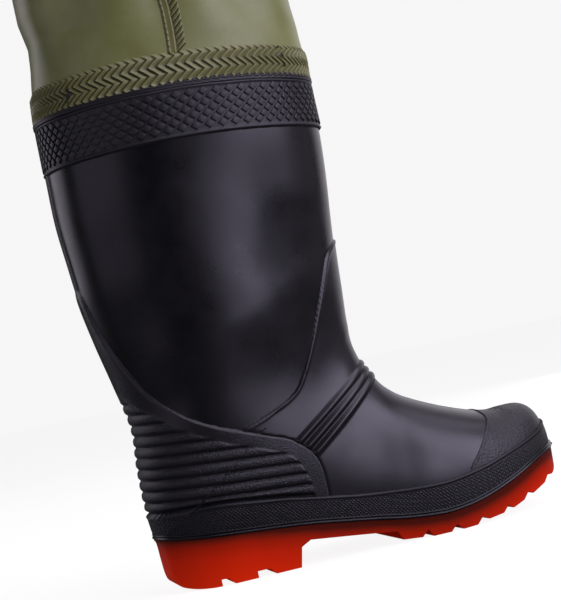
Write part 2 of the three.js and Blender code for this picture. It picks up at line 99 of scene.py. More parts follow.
shaftSections = [
    (-0.443, 1.242, 0.475, 1.456, 0.432, 0.45, 2.2, 1.95),
    (-0.471, 1.386, 0.482, 1.535, 0.452, 0.44, 2.2, 2),
    (-0.487, 1.526, 0.489, 1.614, 0.468, 0.44, 2.2, 2.1),
    (-0.499, 1.66, 0.497, 1.707, 0.484, 0.43, 2.2, 2.1),
    (-0.5, 1.805, 0.502, 1.814, 0.496, 0.43, 2.2, 2.1),
    (-0.5, 1.93, 0.5, 1.93, 0.5, 0.43, 2.2, 2.1),
    (-0.5, 2.04, 0.5, 2.04, 0.5, 0.43, 2.2, 2.1),
]


def heightAt(share):
    instep, top = boot["instepHeight"], boot["shaftHeight"]
    return share * instep if share <= 1 else instep + (share - 1) * (top - instep)


def splineRows(rows, places):
    rows = np.asarray(rows, float)
    last = len(rows) - 1
    i = np.clip(np.floor(places).astype(int), 0, last - 1)
    t = (places - i)[:, None]
    a, b, c, d = (rows[np.clip(i + k, 0, last)] for k in (-1, 0, 1, 2))
    square, cube = 2 * a - 5 * b + 4 * c - d, 3 * b - a - 3 * c + d
    return 0.5 * (2 * b + (c - a) * t + square * t ** 2 + cube * t ** 3)


def smoothLine(points, count=400):
    return splineRows(points, np.linspace(0, len(points) - 1, count))


def lengthsAlong(points):
    return np.concatenate([[0], np.cumsum(np.linalg.norm(np.diff(points, axis=0), axis=1))])


sectionRows = np.array([
    (s[0] * footLength, heightAt(s[1]), s[2] * footLength, heightAt(s[3]), s[4] * boot["ballWidth"], *s[5:8],
     s[8] * boot["ballWidth"]) for s in footSections
] + [
    (shaftMiddle + s[0] * boot["shaftDepth"], heightAt(s[1]), shaftMiddle + s[2] * boot["shaftDepth"],
     heightAt(s[3]), s[4] * boot["shaftWidth"], *s[5:8], 0) for s in shaftSections
])
lastPlace = len(sectionRows) - 1

weltShares = [
    (-0.06, 1.09), (0, 1), (0.075, 0.93), (0.144, 0.88), (0.285, 0.775), (0.355, 0.705), (0.425, 0.613),
    (0.495, 0.523), (0.56, 0.427), (0.63, 0.365), (0.67, 0.36), (0.725, 0.41), (0.78, 0.507), (0.85, 0.68),
    (0.918, 0.87), (0.97, 0.985), (1.05, 1.09),
]
weltLine = smoothLine([(x * footLength, z * heelSole) for x, z in weltShares])


def weltAt(x):
    return np.interp(x, weltLine[:, 0], weltLine[:, 1])


def sectionPoints(rows, turn):
    backX, backZ, frontX, frontZ, half, widest, low, high, shift = (rows[..., k] for k in range(9))
    rise, cosine = np.sin(turn), np.cos(turn)
    power = 2 / np.where(rise < 0, low, high)
    reach = np.abs(rise) ** power
    along = np.where(rise < 0, widest * (1 - reach), widest + (1 - widest) * reach)
    across = half * np.abs(cosine) ** power * np.where(cosine < 0, 1, -1)
    return np.stack([backX + (frontX - backX) * along, across + shift, backZ + (frontZ - backZ) * along], -1)


gridLook = {"samples": 721, "placeStep": 0.02, "turnStep": 0.01}


def halfGrid(places, columns, side, reach=(0, 1)):
    # Points and normals of one side: each row runs in even steps from the back or the welt to the front
    rows = splineRows(sectionRows, places)[:, None, :]
    samples = np.arange(gridLook["samples"])
    angles = np.linspace(-math.pi / 2 if side < 0 else 1.5 * math.pi, math.pi / 2, len(samples))
    turns = np.empty((len(places), columns))
    for k, ring in enumerate(sectionPoints(rows, angles[None, :])):
        above = ring[:, 2] - weltAt(ring[:, 0])
        low = np.nonzero(above < 0)[0]
        start = 0.0
        if len(low):
            i = low[-1]
            start = i + above[i] / (above[i] - above[i + 1]) if i < samples[-1] else samples[-1]
        steps = lengthsAlong(ring)
        first = np.interp(start, samples, steps)
        wanted = first + (steps[-1] - first) * np.linspace(*reach, columns)
        found = np.interp(wanted, steps, samples) if steps[-1] > 0 else np.zeros(columns)
        turns[k] = np.interp(found, samples, angles)
    step, nudge = gridLook["placeStep"], gridLook["turnStep"]
    ahead = sectionPoints(splineRows(sectionRows, np.minimum(places + step, lastPlace))[:, None, :], turns)
    behind = sectionPoints(splineRows(sectionRows, np.maximum(places - step, 0))[:, None, :], turns)
    turned = sectionPoints(rows, turns + nudge) - sectionPoints(rows, turns - nudge)
    normals = np.cross(turned, ahead - behind)
    length = np.linalg.norm(normals, axis=-1, keepdims=True)
    normals = np.where(length > 1e-6, normals / np.maximum(length, 1e-6), (1.0, 0, 0))
    return sectionPoints(rows, turns), normals


def ease(value, low, high):
    t = np.clip((value - low) / (high - low), 0, 1)
    return t * t * (3 - 2 * t)


def lineDistance(line, x, z):
    a, b = line[:-1], line[1:]
    best = np.full(x.shape, 1e9)
    for (ax, az), (bx, bz) in zip(a, b):
        dx, dz = bx - ax, bz - az
        t = np.clip(((x - ax) * dx + (z - az) * dz) / max(dx * dx + dz * dz, 1e-9), 0, 1)
        best = np.minimum(best, np.hypot(x - ax - t * dx, z - az - t * dz))
    return best


def insideOf(polygon, x, z):
    inside = np.zeros(x.shape, bool)
    for (ax, az), (bx, bz) in zip(polygon, np.roll(polygon, -1, axis=0)):
        if az == bz:
            continue
        hit = ((az > z) != (bz > z)) & (x < (bx - ax) * (z - az) / (bz - az) + ax)
        inside ^= hit
    return inside


def signedTo(line, corners, x, z):
    distance = lineDistance(line, x, z)
    return np.where(insideOf(np.vstack([line, corners]), x, z), distance, -distance)


# How deep the edge of a raised piece sinks into the form, and how far its mesh goes on past its outline and
# under the foxing, in millimetres
hidden = {"sunk": 0.3, "skirt": 0.8, "under": 4}


def raised(distance, proud, edge, start=0):
    return -hidden["sunk"] + (proud + hidden["sunk"]) * ease(distance, start, start + edge)


def ridge(distance, width):
    return np.exp(-(distance / width) ** 2)


def inMetres(points):
    return (np.asarray(points) - (boot["originX"], 0, 0)) * 0.001


def focus(piece):
    bpy.ops.object.select_all(action="DESELECT")
    bpy.context.view_layer.objects.active = piece
    piece.select_set(True)


def newPiece(name, vertices, faces):
    mesh = bpy.data.meshes.new(name)
    mesh.from_pydata(vertices, [], faces)
    piece = bpy.data.objects.new(name, mesh)
    bpy.context.scene.collection.objects.link(piece)
    focus(piece)
    return piece


def editAll(piece, *operations):
    # Each operation runs in edit mode with the whole mesh selected
    focus(piece)
    bpy.ops.object.mode_set(mode="EDIT")
    for operation, values in operations:
        bpy.ops.mesh.select_all(action="SELECT")
        operation(**values)
    bpy.ops.object.mode_set(mode="OBJECT")


def dress(piece, material, nodes):
    piece.data.materials.clear()
    piece.data.materials.append(material)
    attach(piece, "root")
    if nodes:
        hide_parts(*nodes)
    print("piece", piece.name, len(piece.data.polygons))


def meshPiece(name, blocks, material, nodes, thickness=0.0):
    # A block has a grid of points in millimetres, its UV run, a mask of what is kept, and if its faces flip
    vertices, faces, runs = [], [], []
    base = 0
    for points, run, mask, flip in blocks:
        n, m = points.shape[:2]
        index = base + np.arange(n * m).reshape(n, m)
        quads = np.stack([index[:-1, :-1], index[:-1, 1:], index[1:, 1:], index[1:, :-1]], -1)
        if mask is not None:
            quads = quads[mask[:-1, :-1] | mask[:-1, 1:] | mask[1:, 1:] | mask[1:, :-1]]
        quads = quads.reshape(-1, 4)
        faces.append(quads[:, ::-1] if flip else quads)
        vertices.append(points.reshape(-1, 3))
        runs.append(run.reshape(-1, 2))
        base += n * m
    vertices, faces, runs = np.vstack(vertices), np.vstack(faces), np.vstack(runs)
    used = np.unique(faces)
    lookup = np.full(len(vertices), -1)
    lookup[used] = np.arange(len(used))
    faces = lookup[faces]
    piece = newPiece(name, inMetres(vertices[used]).tolist(), faces.tolist())
    layer = piece.data.uv_layers.new(name="run")
    layer.data.foreach_set("uv", (runs[used][faces.reshape(-1)] * 0.001).astype(np.float32).reshape(-1))
    editAll(piece, (bpy.ops.mesh.remove_doubles, {"threshold": 2e-5}), (bpy.ops.mesh.delete_loose, {}))
    bpy.ops.object.shade_smooth()
    if thickness:
        solid = piece.modifiers.new("wall", "SOLIDIFY")
        solid.thickness = thickness * 0.001
        solid.offset = -1
        solid.use_quality_normals = False
        bpy.ops.object.modifier_apply(modifier="wall")
    dress(piece, material, nodes)
    return piece


def gridPiece(name, points, run, material, node, thickness):
    return meshPiece(name, [(points, run, None, False)], material, [node], thickness)


def paintPoints(piece, name, valueAt):
    # A number at each vertex, for the piece's material
    spots = np.array([vertex.co for vertex in piece.data.vertices]) * 1000 + (boot["originX"], 0, 0)
    layer = piece.data.attributes.new(name, "FLOAT", "POINT")
    layer.data.foreach_set("value", valueAt(spots[:, 0], spots[:, 2]))


# Shader helpers
def newGroup(name, inputs, outputs):
    group = bpy.data.node_groups.new(name, "ShaderNodeTree")
    for label, kind, value in inputs:
        socket = group.interface.new_socket(label, in_out="INPUT", socket_type=kind)
        if value is not None:
            socket.default_value = value
    for label, kind in outputs:
        group.interface.new_socket(label, in_out="OUTPUT", socket_type=kind)
    return group, group.nodes.new("NodeGroupInput"), group.nodes.new("NodeGroupOutput")


def addNode(tree, kind, links=(), **values):
    node = tree.nodes.new(kind)
    inputs = values.pop("inputs", {})
    for key, value in values.items():
        setattr(node, key, value)
    for key, value in inputs.items():
        node.inputs[key].default_value = value
    for source, socket in links:
        tree.links.new(source, node.inputs[socket])
    return node


def mathNode(tree, operation, a, b=None, c=None):
    node = addNode(tree, "ShaderNodeMath", operation=operation)
    for k, value in enumerate((a, b, c)):
        if value is None:
            continue
        if isinstance(value, (int, float)):
            node.inputs[k].default_value = value
        else:
            tree.links.new(value, node.inputs[k])
    return node.outputs[0]


# Fine grain of moulded rubber: a height and a mask of worn, paler places
def grainGroup():
    group, start, end = newGroup(
        "rubberGrain",
        [("Vector", "NodeSocketVector", None), ("Scale", "NodeSocketFloat", 1200.0),
         ("Rough", "NodeSocketFloat", 0.6)],
        [("Height", "NodeSocketFloat"), ("Wear", "NodeSocketFloat")])
    noise = addNode(group, "ShaderNodeTexNoise", [
        (start.outputs["Vector"], "Vector"), (start.outputs["Scale"], "Scale"),
        (start.outputs["Rough"], "Roughness")], inputs={"Detail": 3.0})
    cells = addNode(group, "ShaderNodeTexVoronoi", [
        (start.outputs["Vector"], "Vector"), (start.outputs["Scale"], "Scale")], feature="F1")
    pits = mathNode(group, "MULTIPLY", cells.outputs["Distance"], 0.5)
    height = mathNode(group, "ADD", noise.outputs["Fac"], pits)
    broad = addNode(group, "ShaderNodeTexNoise", [(start.outputs["Vector"], "Vector")],
                    inputs={"Scale": 28.0, "Detail": 6.0, "Roughness": 0.65})
    group.links.new(height, end.inputs["Height"])
    group.links.new(addNode(group, "ShaderNodeMapRange", [(broad.outputs["Fac"], "Value")],
                            inputs={"From Min": 0.42, "From Max": 0.72}).outputs[0], end.inputs["Wear"])
    return group


# Fine diamond knurl on a run of surface: two crossed sets of ridges
def knurlGroup():
    group, start, end = newGroup(
        "diamondKnurl", [("Vector", "NodeSocketVector", None), ("Pitch", "NodeSocketFloat", 0.0024)],
        [("Height", "NodeSocketFloat")])
    split = addNode(group, "ShaderNodeSeparateXYZ", [(start.outputs["Vector"], "Vector")])
    u, v = split.outputs["X"], split.outputs["Y"]
    ridges = []
    for operation in ("ADD", "SUBTRACT"):
        slant = mathNode(group, operation, u, v)
        wave = mathNode(group, "PINGPONG", mathNode(group, "DIVIDE", slant, start.outputs["Pitch"]), 0.5)
        ridges.append(mathNode(group, "MULTIPLY", wave, 2.0))
    group.links.new(mathNode(group, "SMOOTH_MIN", ridges[0], ridges[1], 0.2), end.inputs["Height"])
    return group


grain = grainGroup()
knurl = knurlGroup()


def startMaterial(name, grainScale):
    material = bpy.data.materials.new(name)
    material.use_nodes = True
    tree = material.node_tree
    place = addNode(tree, "ShaderNodeTexCoord").outputs["Object"]
    texture = addNode(tree, "ShaderNodeGroup", [(place, "Vector")], node_tree=grain,
                      inputs={"Scale": grainScale})
    return material, tree, tree.nodes["Principled BSDF"], place, texture


def mixColours(tree, share, first, second):
    # Each colour is either a fixed one or the output of another node
    node = addNode(tree, "ShaderNodeMix", [(share, "Factor")], data_type="RGBA")
    for k, colour in ((6, first), (7, second)):
        if isinstance(colour, tuple):
            node.inputs[k].default_value = (*colour, 1)
        else:
            tree.links.new(colour, node.inputs[k])
    return node.outputs[2]


def addBump(tree, height, strength=1.0, distance=1.0):
    bump = addNode(tree, "ShaderNodeBump", [(height, "Height")],
                   inputs={"Strength": strength, "Distance": distance})
    tree.links.new(bump.outputs["Normal"], tree.nodes["Principled BSDF"].inputs["Normal"])


def setInputs(shader, values):
    for label, value in values.items():
        shader.inputs[label].default_value = value


rubberLook = {"colour": (0.0032, 0.003, 0.0038), "pale": (0.006, 0.0056, 0.007), "specular": 0.5,
              "tint": (0.84, 0.8, 1.0, 1)}


def rubber(name, **changes):
    look = {**rubberLook, **changes}
    material, tree, shader, _, texture = startMaterial(name, look["grainScale"])
    wear = texture.outputs["Wear"]
    tree.links.new(mixColours(tree, wear, look["colour"], look["pale"]), shader.inputs["Base Color"])
    gloss = addNode(tree, "ShaderNodeMapRange", [(wear, "Value")],
                    inputs={"To Min": look["gloss"], "To Max": look["dull"]})
    tree.links.new(gloss.outputs[0], shader.inputs["Roughness"])
    height = mathNode(tree, "MULTIPLY", texture.outputs["Height"], look["grainHeight"])
    if "fadedGrain" in look:
        strength = addNode(tree, "ShaderNodeAttribute", attribute_name=look["fadedGrain"])
        height = mathNode(tree, "MULTIPLY", height, strength.outputs["Fac"])
    if "knurl" in look:
        run = addNode(tree, "ShaderNodeUVMap", uv_map="run")
        crossed = addNode(tree, "ShaderNodeGroup", [(run.outputs["UV"], "Vector")], node_tree=knurl,
                          inputs={"Pitch": look["knurl"]})
        field = addNode(tree, "ShaderNodeAttribute", attribute_name="field")
        inField = mathNode(tree, "MULTIPLY", crossed.outputs["Height"], field.outputs["Fac"])
        height = mathNode(tree, "ADD", height, mathNode(tree, "MULTIPLY", inField, look["knurlHeight"]))
    addBump(tree, height)
    setInputs(shader, {"IOR": 1.5, "Specular IOR Level": look["specular"], "Specular Tint": look["tint"]})
    return material


shaftRubber = rubber("shaftRubber", gloss=0.27, dull=0.36, grainScale=2200.0, grainHeight=0.00002,
                     specular=0.38)
vampRubber = rubber("vampRubber", gloss=0.31, dull=0.4, grainScale=2200.0, grainHeight=0.00002)
grainRubber = rubber("grainRubber", gloss=0.3, dull=0.42, grainScale=950.0, grainHeight=0.00055,
                     fadedGrain="grainShare")
knurlRubber = rubber("knurlRubber", gloss=0.42, dull=0.54, grainScale=1500.0, grainHeight=0.00004,
                     knurl=0.0027, knurlHeight=0.00032, specular=0.4)
bandRubber = rubber("bandRubber", colour=(0.0045, 0.0042, 0.0055), pale=(0.008, 0.0075, 0.0095), gloss=0.46,
                    dull=0.58, grainScale=1500.0, grainHeight=0.00004)
capRubber = rubber("capRubber", colour=(0.0045, 0.0042, 0.0052), pale=(0.008, 0.0075, 0.009), gloss=0.42,
                   dull=0.52, grainScale=560.0, grainHeight=0.0004)
print("rubber materials ready")

# Upper: the smooth shell of shaft and foot, with a soft hollow on each side of the ankle
shaftLook = {
    "rows": 8, "columns": 70, "hollow": 3.2, "hollowAt": (92, 138), "hollowSpread": (30, 34),
    "hollowSides": (8, 30),
}
detail = 1


def placeOfHeight(z):
    places = np.linspace(lastPlace - 3, lastPlace, 600)
    return float(np.interp(z, splineRows(sectionRows, places)[:, 1], places))


def formHeight(points):
    x, z = points[..., 0], points[..., 2]
    (cx, cz), (sx, sz) = shaftLook["hollowAt"], shaftLook["hollowSpread"]
    spot = np.exp(-((x - cx) / sx) ** 2 - ((z - cz) / sz) ** 2)
    return -shaftLook["hollow"] * spot * ease(np.abs(points[..., 1]), *shaftLook["hollowSides"])


def sheetOf(places, columns, height, reach=(0, 1), run=None):
    # Both sides of a piece that lies on the form, lifted by a height field
    blocks = []
    for side in (-1, 1):
        points, normals = halfGrid(places, columns, side, reach)
        rise, mask = height(points)
        moved = points + normals * (formHeight(points) + rise)[..., None]
        coords = run(moved) if run else moved[..., [0, 2]]
        blocks.append((moved, coords, mask, side > 0))
    return blocks


def overlay(name, look, height, material, node, reach=(0, 1), run=None):
    places = np.linspace(look["first"], look["last"], int(look["rows"] * detail))
    blocks = sheetOf(places, int(look["columns"] * detail), height, reach, run)
    return meshPiece(name, blocks, material, [node], look["wall"])


rimPlace = placeOfHeight(boot["shaftHeight"])
shellPlaces = np.linspace(0, rimPlace, int(rimPlace * shaftLook["rows"] * detail))
plain = sheetOf(shellPlaces, shaftLook["columns"], lambda points: (np.zeros(points.shape[:2]), None))
meshPiece("upperShell", plain, shaftRubber, ["upper"], boot["wall"])


def weltLoop(count):
    # Outline of the welt seen from above, as a closed loop of even points
    places = np.linspace(0, lastPlace * 0.75, 900)
    sides = []
    for side in (-1, 1):
        start = halfGrid(places, 3, side)[0][:, 0]
        sides.append(start[np.abs(start[:, 2] - weltAt(start[:, 0])) < 0.05][:, :2])
    loop = np.vstack([sides[0], sides[1][::-1], sides[0][:1]])
    steps = lengthsAlong(loop)
    even = np.linspace(0, steps[-1], count, endpoint=False)
    return np.stack([np.interp(even, steps, loop[:, k]) for k in (0, 1)], -1), steps[-1]


def moveLoop(loop, distance):
    along = np.roll(loop, -2, axis=0) - np.roll(loop, 2, axis=0)
    along /= np.linalg.norm(along, axis=1, keepdims=True)
    return loop + np.stack([-along[:, 1], along[:, 0]], -1) * distance


welt, weltLength = weltLoop(720)
outward = -1 if np.ptp(moveLoop(welt, 5)[:, 0]) < np.ptp(welt[:, 0]) else 1
print("welt length mm", round(float(weltLength)))


def weltRun(points, chunk=20000):
    # Length along the welt and height over it, worked out in chunks to spare memory
    flat = points.reshape(-1, 3)
    nearest = np.empty(len(flat))
    for start in range(0, len(flat), chunk):
        part = flat[start:start + chunk, :2]
        nearest[start:start + chunk] = ((part[:, None] - welt[None]) ** 2).sum(-1).argmin(1)
    across = nearest / len(welt) * weltLength
    return np.stack([across, flat[:, 2] - weltAt(flat[:, 0])], -1).reshape(*points.shape[:2], 2)


# Foxing: a knurled band round the foot with a thin raised lip along its top
foxingLook = {
    "height": 21.6, "proud": 2.7, "lip": 0.6, "lipWidth": 1.7, "edge": 1.1, "fieldEdge": 1.2, "wall": 1.2,
    "first": 0, "last": 19, "rows": 304, "columns": 170,
}
foxingShares = [
    (-0.05, 0.86), (0, 0.88), (0.05, 0.98), (0.13, 1.07), (0.2, 1.05), (0.285, 1), (0.36, 0.94), (0.46, 0.92),
    (0.53, 0.98), (0.6, 1.04), (0.67, 1.07), (0.73, 1.06), (0.78, 1.02), (0.835, 0.97), (0.9, 0.88),
    (0.95, 0.86), (0.985, 0.96), (1.04, 1.1),
]
foxingLine = smoothLine([(x * footLength, float(weltAt(x * footLength)) + share * foxingLook["height"])
                         for x, share in foxingShares])


def foxingTopAt(x):
    return np.interp(x, foxingLine[:, 0], foxingLine[:, 1])


def aboveFoxing(x, z):
    return z > foxingTopAt(x) - hidden["under"]


def foxingHeight(points):
    look = foxingLook
    depth = foxingTopAt(points[..., 0]) - points[..., 2]
    lip = ridge(depth - look["edge"] - look["lipWidth"] / 2, look["lipWidth"] * 0.45)
    return raised(depth, look["proud"], look["edge"]) + look["lip"] * lip, depth > -hidden["skirt"]


def knurlField(x, z):
    start = foxingLook["edge"] + foxingLook["lipWidth"]
    return ease(foxingTopAt(x) - z, start, start + foxingLook["fieldEdge"])


foxing = overlay("foxingBand", foxingLook, foxingHeight, knurlRubber, "foxing", run=weltRun)
paintPoints(foxing, "field", knurlField)

# Bead: a thin double lip over the joint of upper and sole
beadLook = {"proud": 4.4, "inside": -1.0, "height": 4.0, "low": 0.2}
beadSection = [(0.0, 0.0), (0.75, 0.0), (0.97, 0.1), (1.0, 0.24), (0.95, 0.38), (0.8, 0.46), (0.82, 0.56),
               (0.93, 0.66), (0.95, 0.8), (0.86, 0.93), (0.62, 1.0), (0.0, 1.04)]


def beadRings():
    rings = []
    for share, rise in beadSection + beadSection[:1]:
        out = beadLook["inside"] + (beadLook["proud"] - beadLook["inside"]) * share
        loop = moveLoop(welt, outward * out)
        height = weltAt(loop[:, 0]) + beadLook["low"] + beadLook["height"] * rise
        rings.append(np.column_stack([loop, height]))
    rings = np.array(rings)
    return np.concatenate([rings, rings[:, :1]], axis=1)


bead = beadRings()
beadBlock = (bead, bead[..., :2] * 0, None, outward > 0)
meshPiece("weltBead", [beadBlock], shaftRubber, ["welt_bead"])

# Heel counter: rounded ribs under a strap, and the stay that runs up the back
counterLook = {
    "proud": 2.2, "edge": 1.3, "pitch": 7.9, "ribLow": 0.1, "ribHeight": 2.5, "ribFade": 3,
    "ribEdge": (-0.2, 1.6), "fall": 0.085, "stayWidth": 15, "stayProud": 1.2, "stayEdge": 1.2,
    "stayFrom": 150, "strapGrain": 0.4, "top": 312, "wall": 0.9, "first": 8.5, "last": placeOfHeight(313),
    "rows": 510, "columns": 200,
}


def sidePoints(shares):
    return [(x * footLength, heightAt(z)) for x, z in shares]


strapLine = smoothLine(sidePoints([
    (-0.066, 1.44), (-0.0525, 1.35), (-0.04, 1.28), (-0.026, 1.22), (-0.01, 1.164), (0.008, 1.112),
    (0.037, 1.04), (0.098, 0.923), (0.161, 0.84), (0.216, 0.79), (0.279, 0.732), (0.322, 0.694),
    (0.35, 0.648), (0.374, 0.59), (0.387, 0.518), (0.391, 0.434), (0.392, 0.357), (0.392, 0.2),
]), 90)
ribLine = smoothLine(sidePoints([
    (-0.03, 1.08), (0.009, 1.007), (0.038, 0.959), (0.062, 0.898), (0.095, 0.846), (0.139, 0.786),
    (0.184, 0.733), (0.239, 0.687), (0.279, 0.648), (0.308, 0.618), (0.328, 0.579), (0.341, 0.525),
    (0.3525, 0.448), (0.356, 0.376), (0.357, 0.2),
]), 70)
# Points well outside the boot, which close the outlines of the pieces
outside = {"back": -300, "front": 600, "below": -300}
heelCorner = [(outside["back"], heightAt(share)) for share in (0.2, 1.44)]
ribCorner = [(outside["back"], heightAt(share)) for share in (0.2, 1.08)]


def frontCorners(line):
    front, below = outside["front"], outside["below"]
    return [(front, line[-1][1]), (front, below), (line[0][0], below)]


def onRibs(x, z):
    return ease(signedTo(ribLine, ribCorner, x, z), *counterLook["ribEdge"])


def counterHeight(points):
    look = counterLook
    x, y, z = points[..., 0], points[..., 1], points[..., 2]
    strap = signedTo(strapLine, heelCorner, x, z)
    phase = ((z + look["fall"] * x - foxingTopAt(np.zeros(1))) / look["pitch"]) % 1
    rounded = (1 - np.abs(2 * phase - 1) ** 2.6) ** 0.7
    ribbed = look["ribLow"] + look["ribHeight"] * rounded * ease(z - foxingTopAt(x), 0, look["ribFade"])
    rise = raised(strap, look["proud"] + (ribbed - look["proud"]) * onRibs(x, z), look["edge"])
    stay = ease(look["stayWidth"] / 2 - np.abs(y), 0, look["stayEdge"])
    stay = stay * (x < shaftMiddle) * (z > look["stayFrom"])
    stayRise = -hidden["sunk"] + (look["stayProud"] + hidden["sunk"]) * stay
    rise = np.where(z > look["stayFrom"], np.maximum(rise, stayRise), rise)
    return rise, ((strap > -hidden["skirt"]) | (stay > 0)) & (z < look["top"]) & aboveFoxing(x, z)


def strapGrain(x, z):
    return counterLook["strapGrain"] + (1 - counterLook["strapGrain"]) * onRibs(x, z)


counter = overlay("heelCounter", counterLook, counterHeight, grainRubber, "heel_counter", reach=(0, 0.8))
paintPoints(counter, "grainShare", strapGrain)

# Vamp panel with the three bars over the instep and a fine mould line along the top of the foot
vampLook = {
    "proud": 1.0, "edge": 0.9, "line": 0.7, "lineAt": 1.6, "lineWidth": 1.9, "barProud": 2.0,
    "barWidth": 5.0, "barFade": 4, "mould": 0.35, "mouldWidth": 0.9, "mouldY": -8, "mouldSlant": 0.05,
    "mouldX": 200, "mouldFade": (196, 204), "mouldAbove": 60, "sunk": 0.4, "underStrap": (0.3, 1.3),
    "pastStrap": 3, "pastCap": 1.5, "wall": 0.8, "first": 2.5, "last": 23.2, "rows": 310, "columns": 130,
}
vampLine = smoothLine(sidePoints([
    (0.17, 0.75), (0.216, 0.792), (0.292, 0.85), (0.36, 0.925), (0.396, 1.02), (0.43, 1.112), (0.456, 1.192),
    (0.475, 1.25), (0.497, 1.322), (0.518, 1.382), (0.548, 1.422), (0.575, 1.446), (0.62, 1.46)]), 80)
capLine = smoothLine(sidePoints([
    (0.7, 0.12), (0.732, 0.3), (0.768, 0.39), (0.8, 0.469), (0.82, 0.52), (0.83, 0.552), (0.825, 0.59),
    (0.808, 0.62), (0.785, 0.66), (0.775, 0.8)]), 70)
bars = [((102.2 + 4.9 * k, 83.9 - 5.5 * k), (183 + 2.1 * k, 136.4 - 5.3 * k)) for k in range(3)]


def vampHeight(points):
    look = vampLook
    x, y, z = points[..., 0], points[..., 1], points[..., 2]
    inside = signedTo(vampLine, frontCorners(vampLine), x, z)
    cap = signedTo(capLine, frontCorners(capLine), x, z)
    strap = signedTo(strapLine, heelCorner, x, z)
    rise = raised(inside, look["proud"], look["edge"])
    rise += look["line"] * ridge(inside - look["lineAt"], look["lineWidth"] / 2)
    for bar in bars:
        away = lineDistance(np.array(bar), x, z)
        rounded = np.clip(1 - (away / (look["barWidth"] / 2)) ** 2, 0, 1) ** 0.6
        rise += look["barProud"] * rounded * ease(inside, 0, look["barFade"])
    mould = ridge(y - look["mouldY"] - look["mouldSlant"] * (x - look["mouldX"]), look["mouldWidth"])
    rise += look["mould"] * mould * ease(x, *look["mouldFade"]) * (z > look["mouldAbove"])
    rise = -look["sunk"] + (rise + look["sunk"]) * (1 - ease(strap, *look["underStrap"]))
    shown = (inside > -hidden["skirt"]) & (cap < look["pastCap"]) & (strap < look["pastStrap"])
    return rise, shown & aboveFoxing(x, z)


overlay("vampPanel", vampLook, vampHeight, vampRubber, "vamp_panel")

# Toe cap with a thin raised line along its edge
capLook = {
    "proud": 1.5, "edge": 1.1, "line": 0.35, "lineAt": 1.8, "lineWidth": 0.9, "wall": 0.9,
    "first": 0, "last": 10, "rows": 200, "columns": 130,
}


def capHeight(points):
    look = capLook
    x, z = points[..., 0], points[..., 2]
    cap = signedTo(capLine, frontCorners(capLine), x, z)
    rise = raised(cap, look["proud"], look["edge"])
    rise += look["line"] * ridge(cap - look["lineAt"], look["lineWidth"])
    return rise, (cap > -hidden["skirt"]) & aboveFoxing(x, z)


overlay("toeCap", capLook, capHeight, capRubber, "toe_cap")

# Collar band: a strip with an uneven ridge at the rim and a thin one along its lower edge
bandLook = {
    "low": 308.3, "top": 343.6, "proud": 1.1, "edge": 0.8, "ridge": 1.0, "lowRidge": 1.9, "lowWidth": 1.0,
    "topRidge": 1.1, "topWidth": 0.8, "wave": 0.2, "waveLength": 9, "rimAbove": 0.4, "rimEdge": 0.9,
    "over": 1.2, "drop": 3.6, "gather": 0.3, "wall": 0.8, "first": placeOfHeight(303.6),
    "last": placeOfHeight(343.9), "rows": 60, "columns": 170,
}


def closer(turn):
    # Place of a repeat round the girth: the pattern is closer set at the back and front than at the sides
    return turn - bandLook["gather"] * np.sin(4 * math.pi * turn) / (4 * math.pi)


def bandDrop(share):
    # The whole band hangs a little lower at the back and front than at the sides
    return bandLook["drop"] * np.cos(math.pi * share) ** 2


def bandHeight(points):
    look = bandLook
    steps = np.linalg.norm(np.diff(points, axis=1), axis=-1)
    along = np.concatenate([np.zeros((len(points), 1)), np.cumsum(steps, axis=1)], axis=1)
    z = points[..., 2] + bandDrop(along / along[:, -1:])
    wave = look["wave"] * np.sin(along / look["waveLength"])
    rise = raised(z, look["proud"], look["edge"], look["low"])
    rise += look["ridge"] * ridge(z - look["low"] - look["lowRidge"], look["lowWidth"])
    rise += look["ridge"] * ridge(z - look["top"] + look["topRidge"] - wave, look["topWidth"])
    rise *= ease(look["top"] + look["rimAbove"] - z, 0, look["rimEdge"])
    return rise, (z > look["low"] - hidden["skirt"]) & (z < look["top"] + look["over"])


overlay("collarBand", bandLook, bandHeight, bandRubber, "collar_band")

# Raised rhombs of the band. Each is a low block, in rings of size and lift up to the height of its middle
rhombLook = {
    "pitch": 7.7, "rowPitch": 7.8, "firstRow": 315.2, "rows": 7, "halfLength": 3.05, "halfHeight": 3.0,
    "rings": [(1.0, 0.8), (0.95, 1.75), (0.88, 1.98), (0.8, 2.05)], "middle": 2.07, "levels": 70,
    "columns": 241, "from": 302, "sharp": 40,
}


def surfaceAt(points, normals, share, z):
    place = share * (points.shape[1] - 1)
    i = min(int(place), points.shape[1] - 2)
    blend = place - i
    column = points[:, i] * (1 - blend) + points[:, i + 1] * blend
    normal = normals[:, i] * (1 - blend) + normals[:, i + 1] * blend
    order = np.argsort(column[:, 2])
    at = np.array([np.interp(z, column[order, 2], column[order, k]) for k in range(3)])
    out = np.array([np.interp(z, column[order, 2], normal[order, k]) for k in range(3)])
    return at, out / np.linalg.norm(out)


def rhombPoints(points, normals, share, z, wide, half):
    # Rings of four corners and the middle of one rhomb, mirrored where it reaches over the back or the front
    look = rhombLook
    made = []
    for scale, lift in look["rings"]:
        for along, up in ((1, 0), (0, 1), (-1, 0), (0, -1)):
            place = share + scale * along * wide * look["halfLength"] / half
            at, out = surfaceAt(points, normals, min(abs(place), 1) if place <= 1 else 2 - place,
                                z + scale * up * look["halfHeight"])
            at = at + out * (formHeight(at) + lift)
            if place < 0 or place > 1:
                at[1] = -at[1]
            made.append(at)
    at, out = surfaceAt(points, normals, share, z)
    return made + [at + out * look["middle"]]


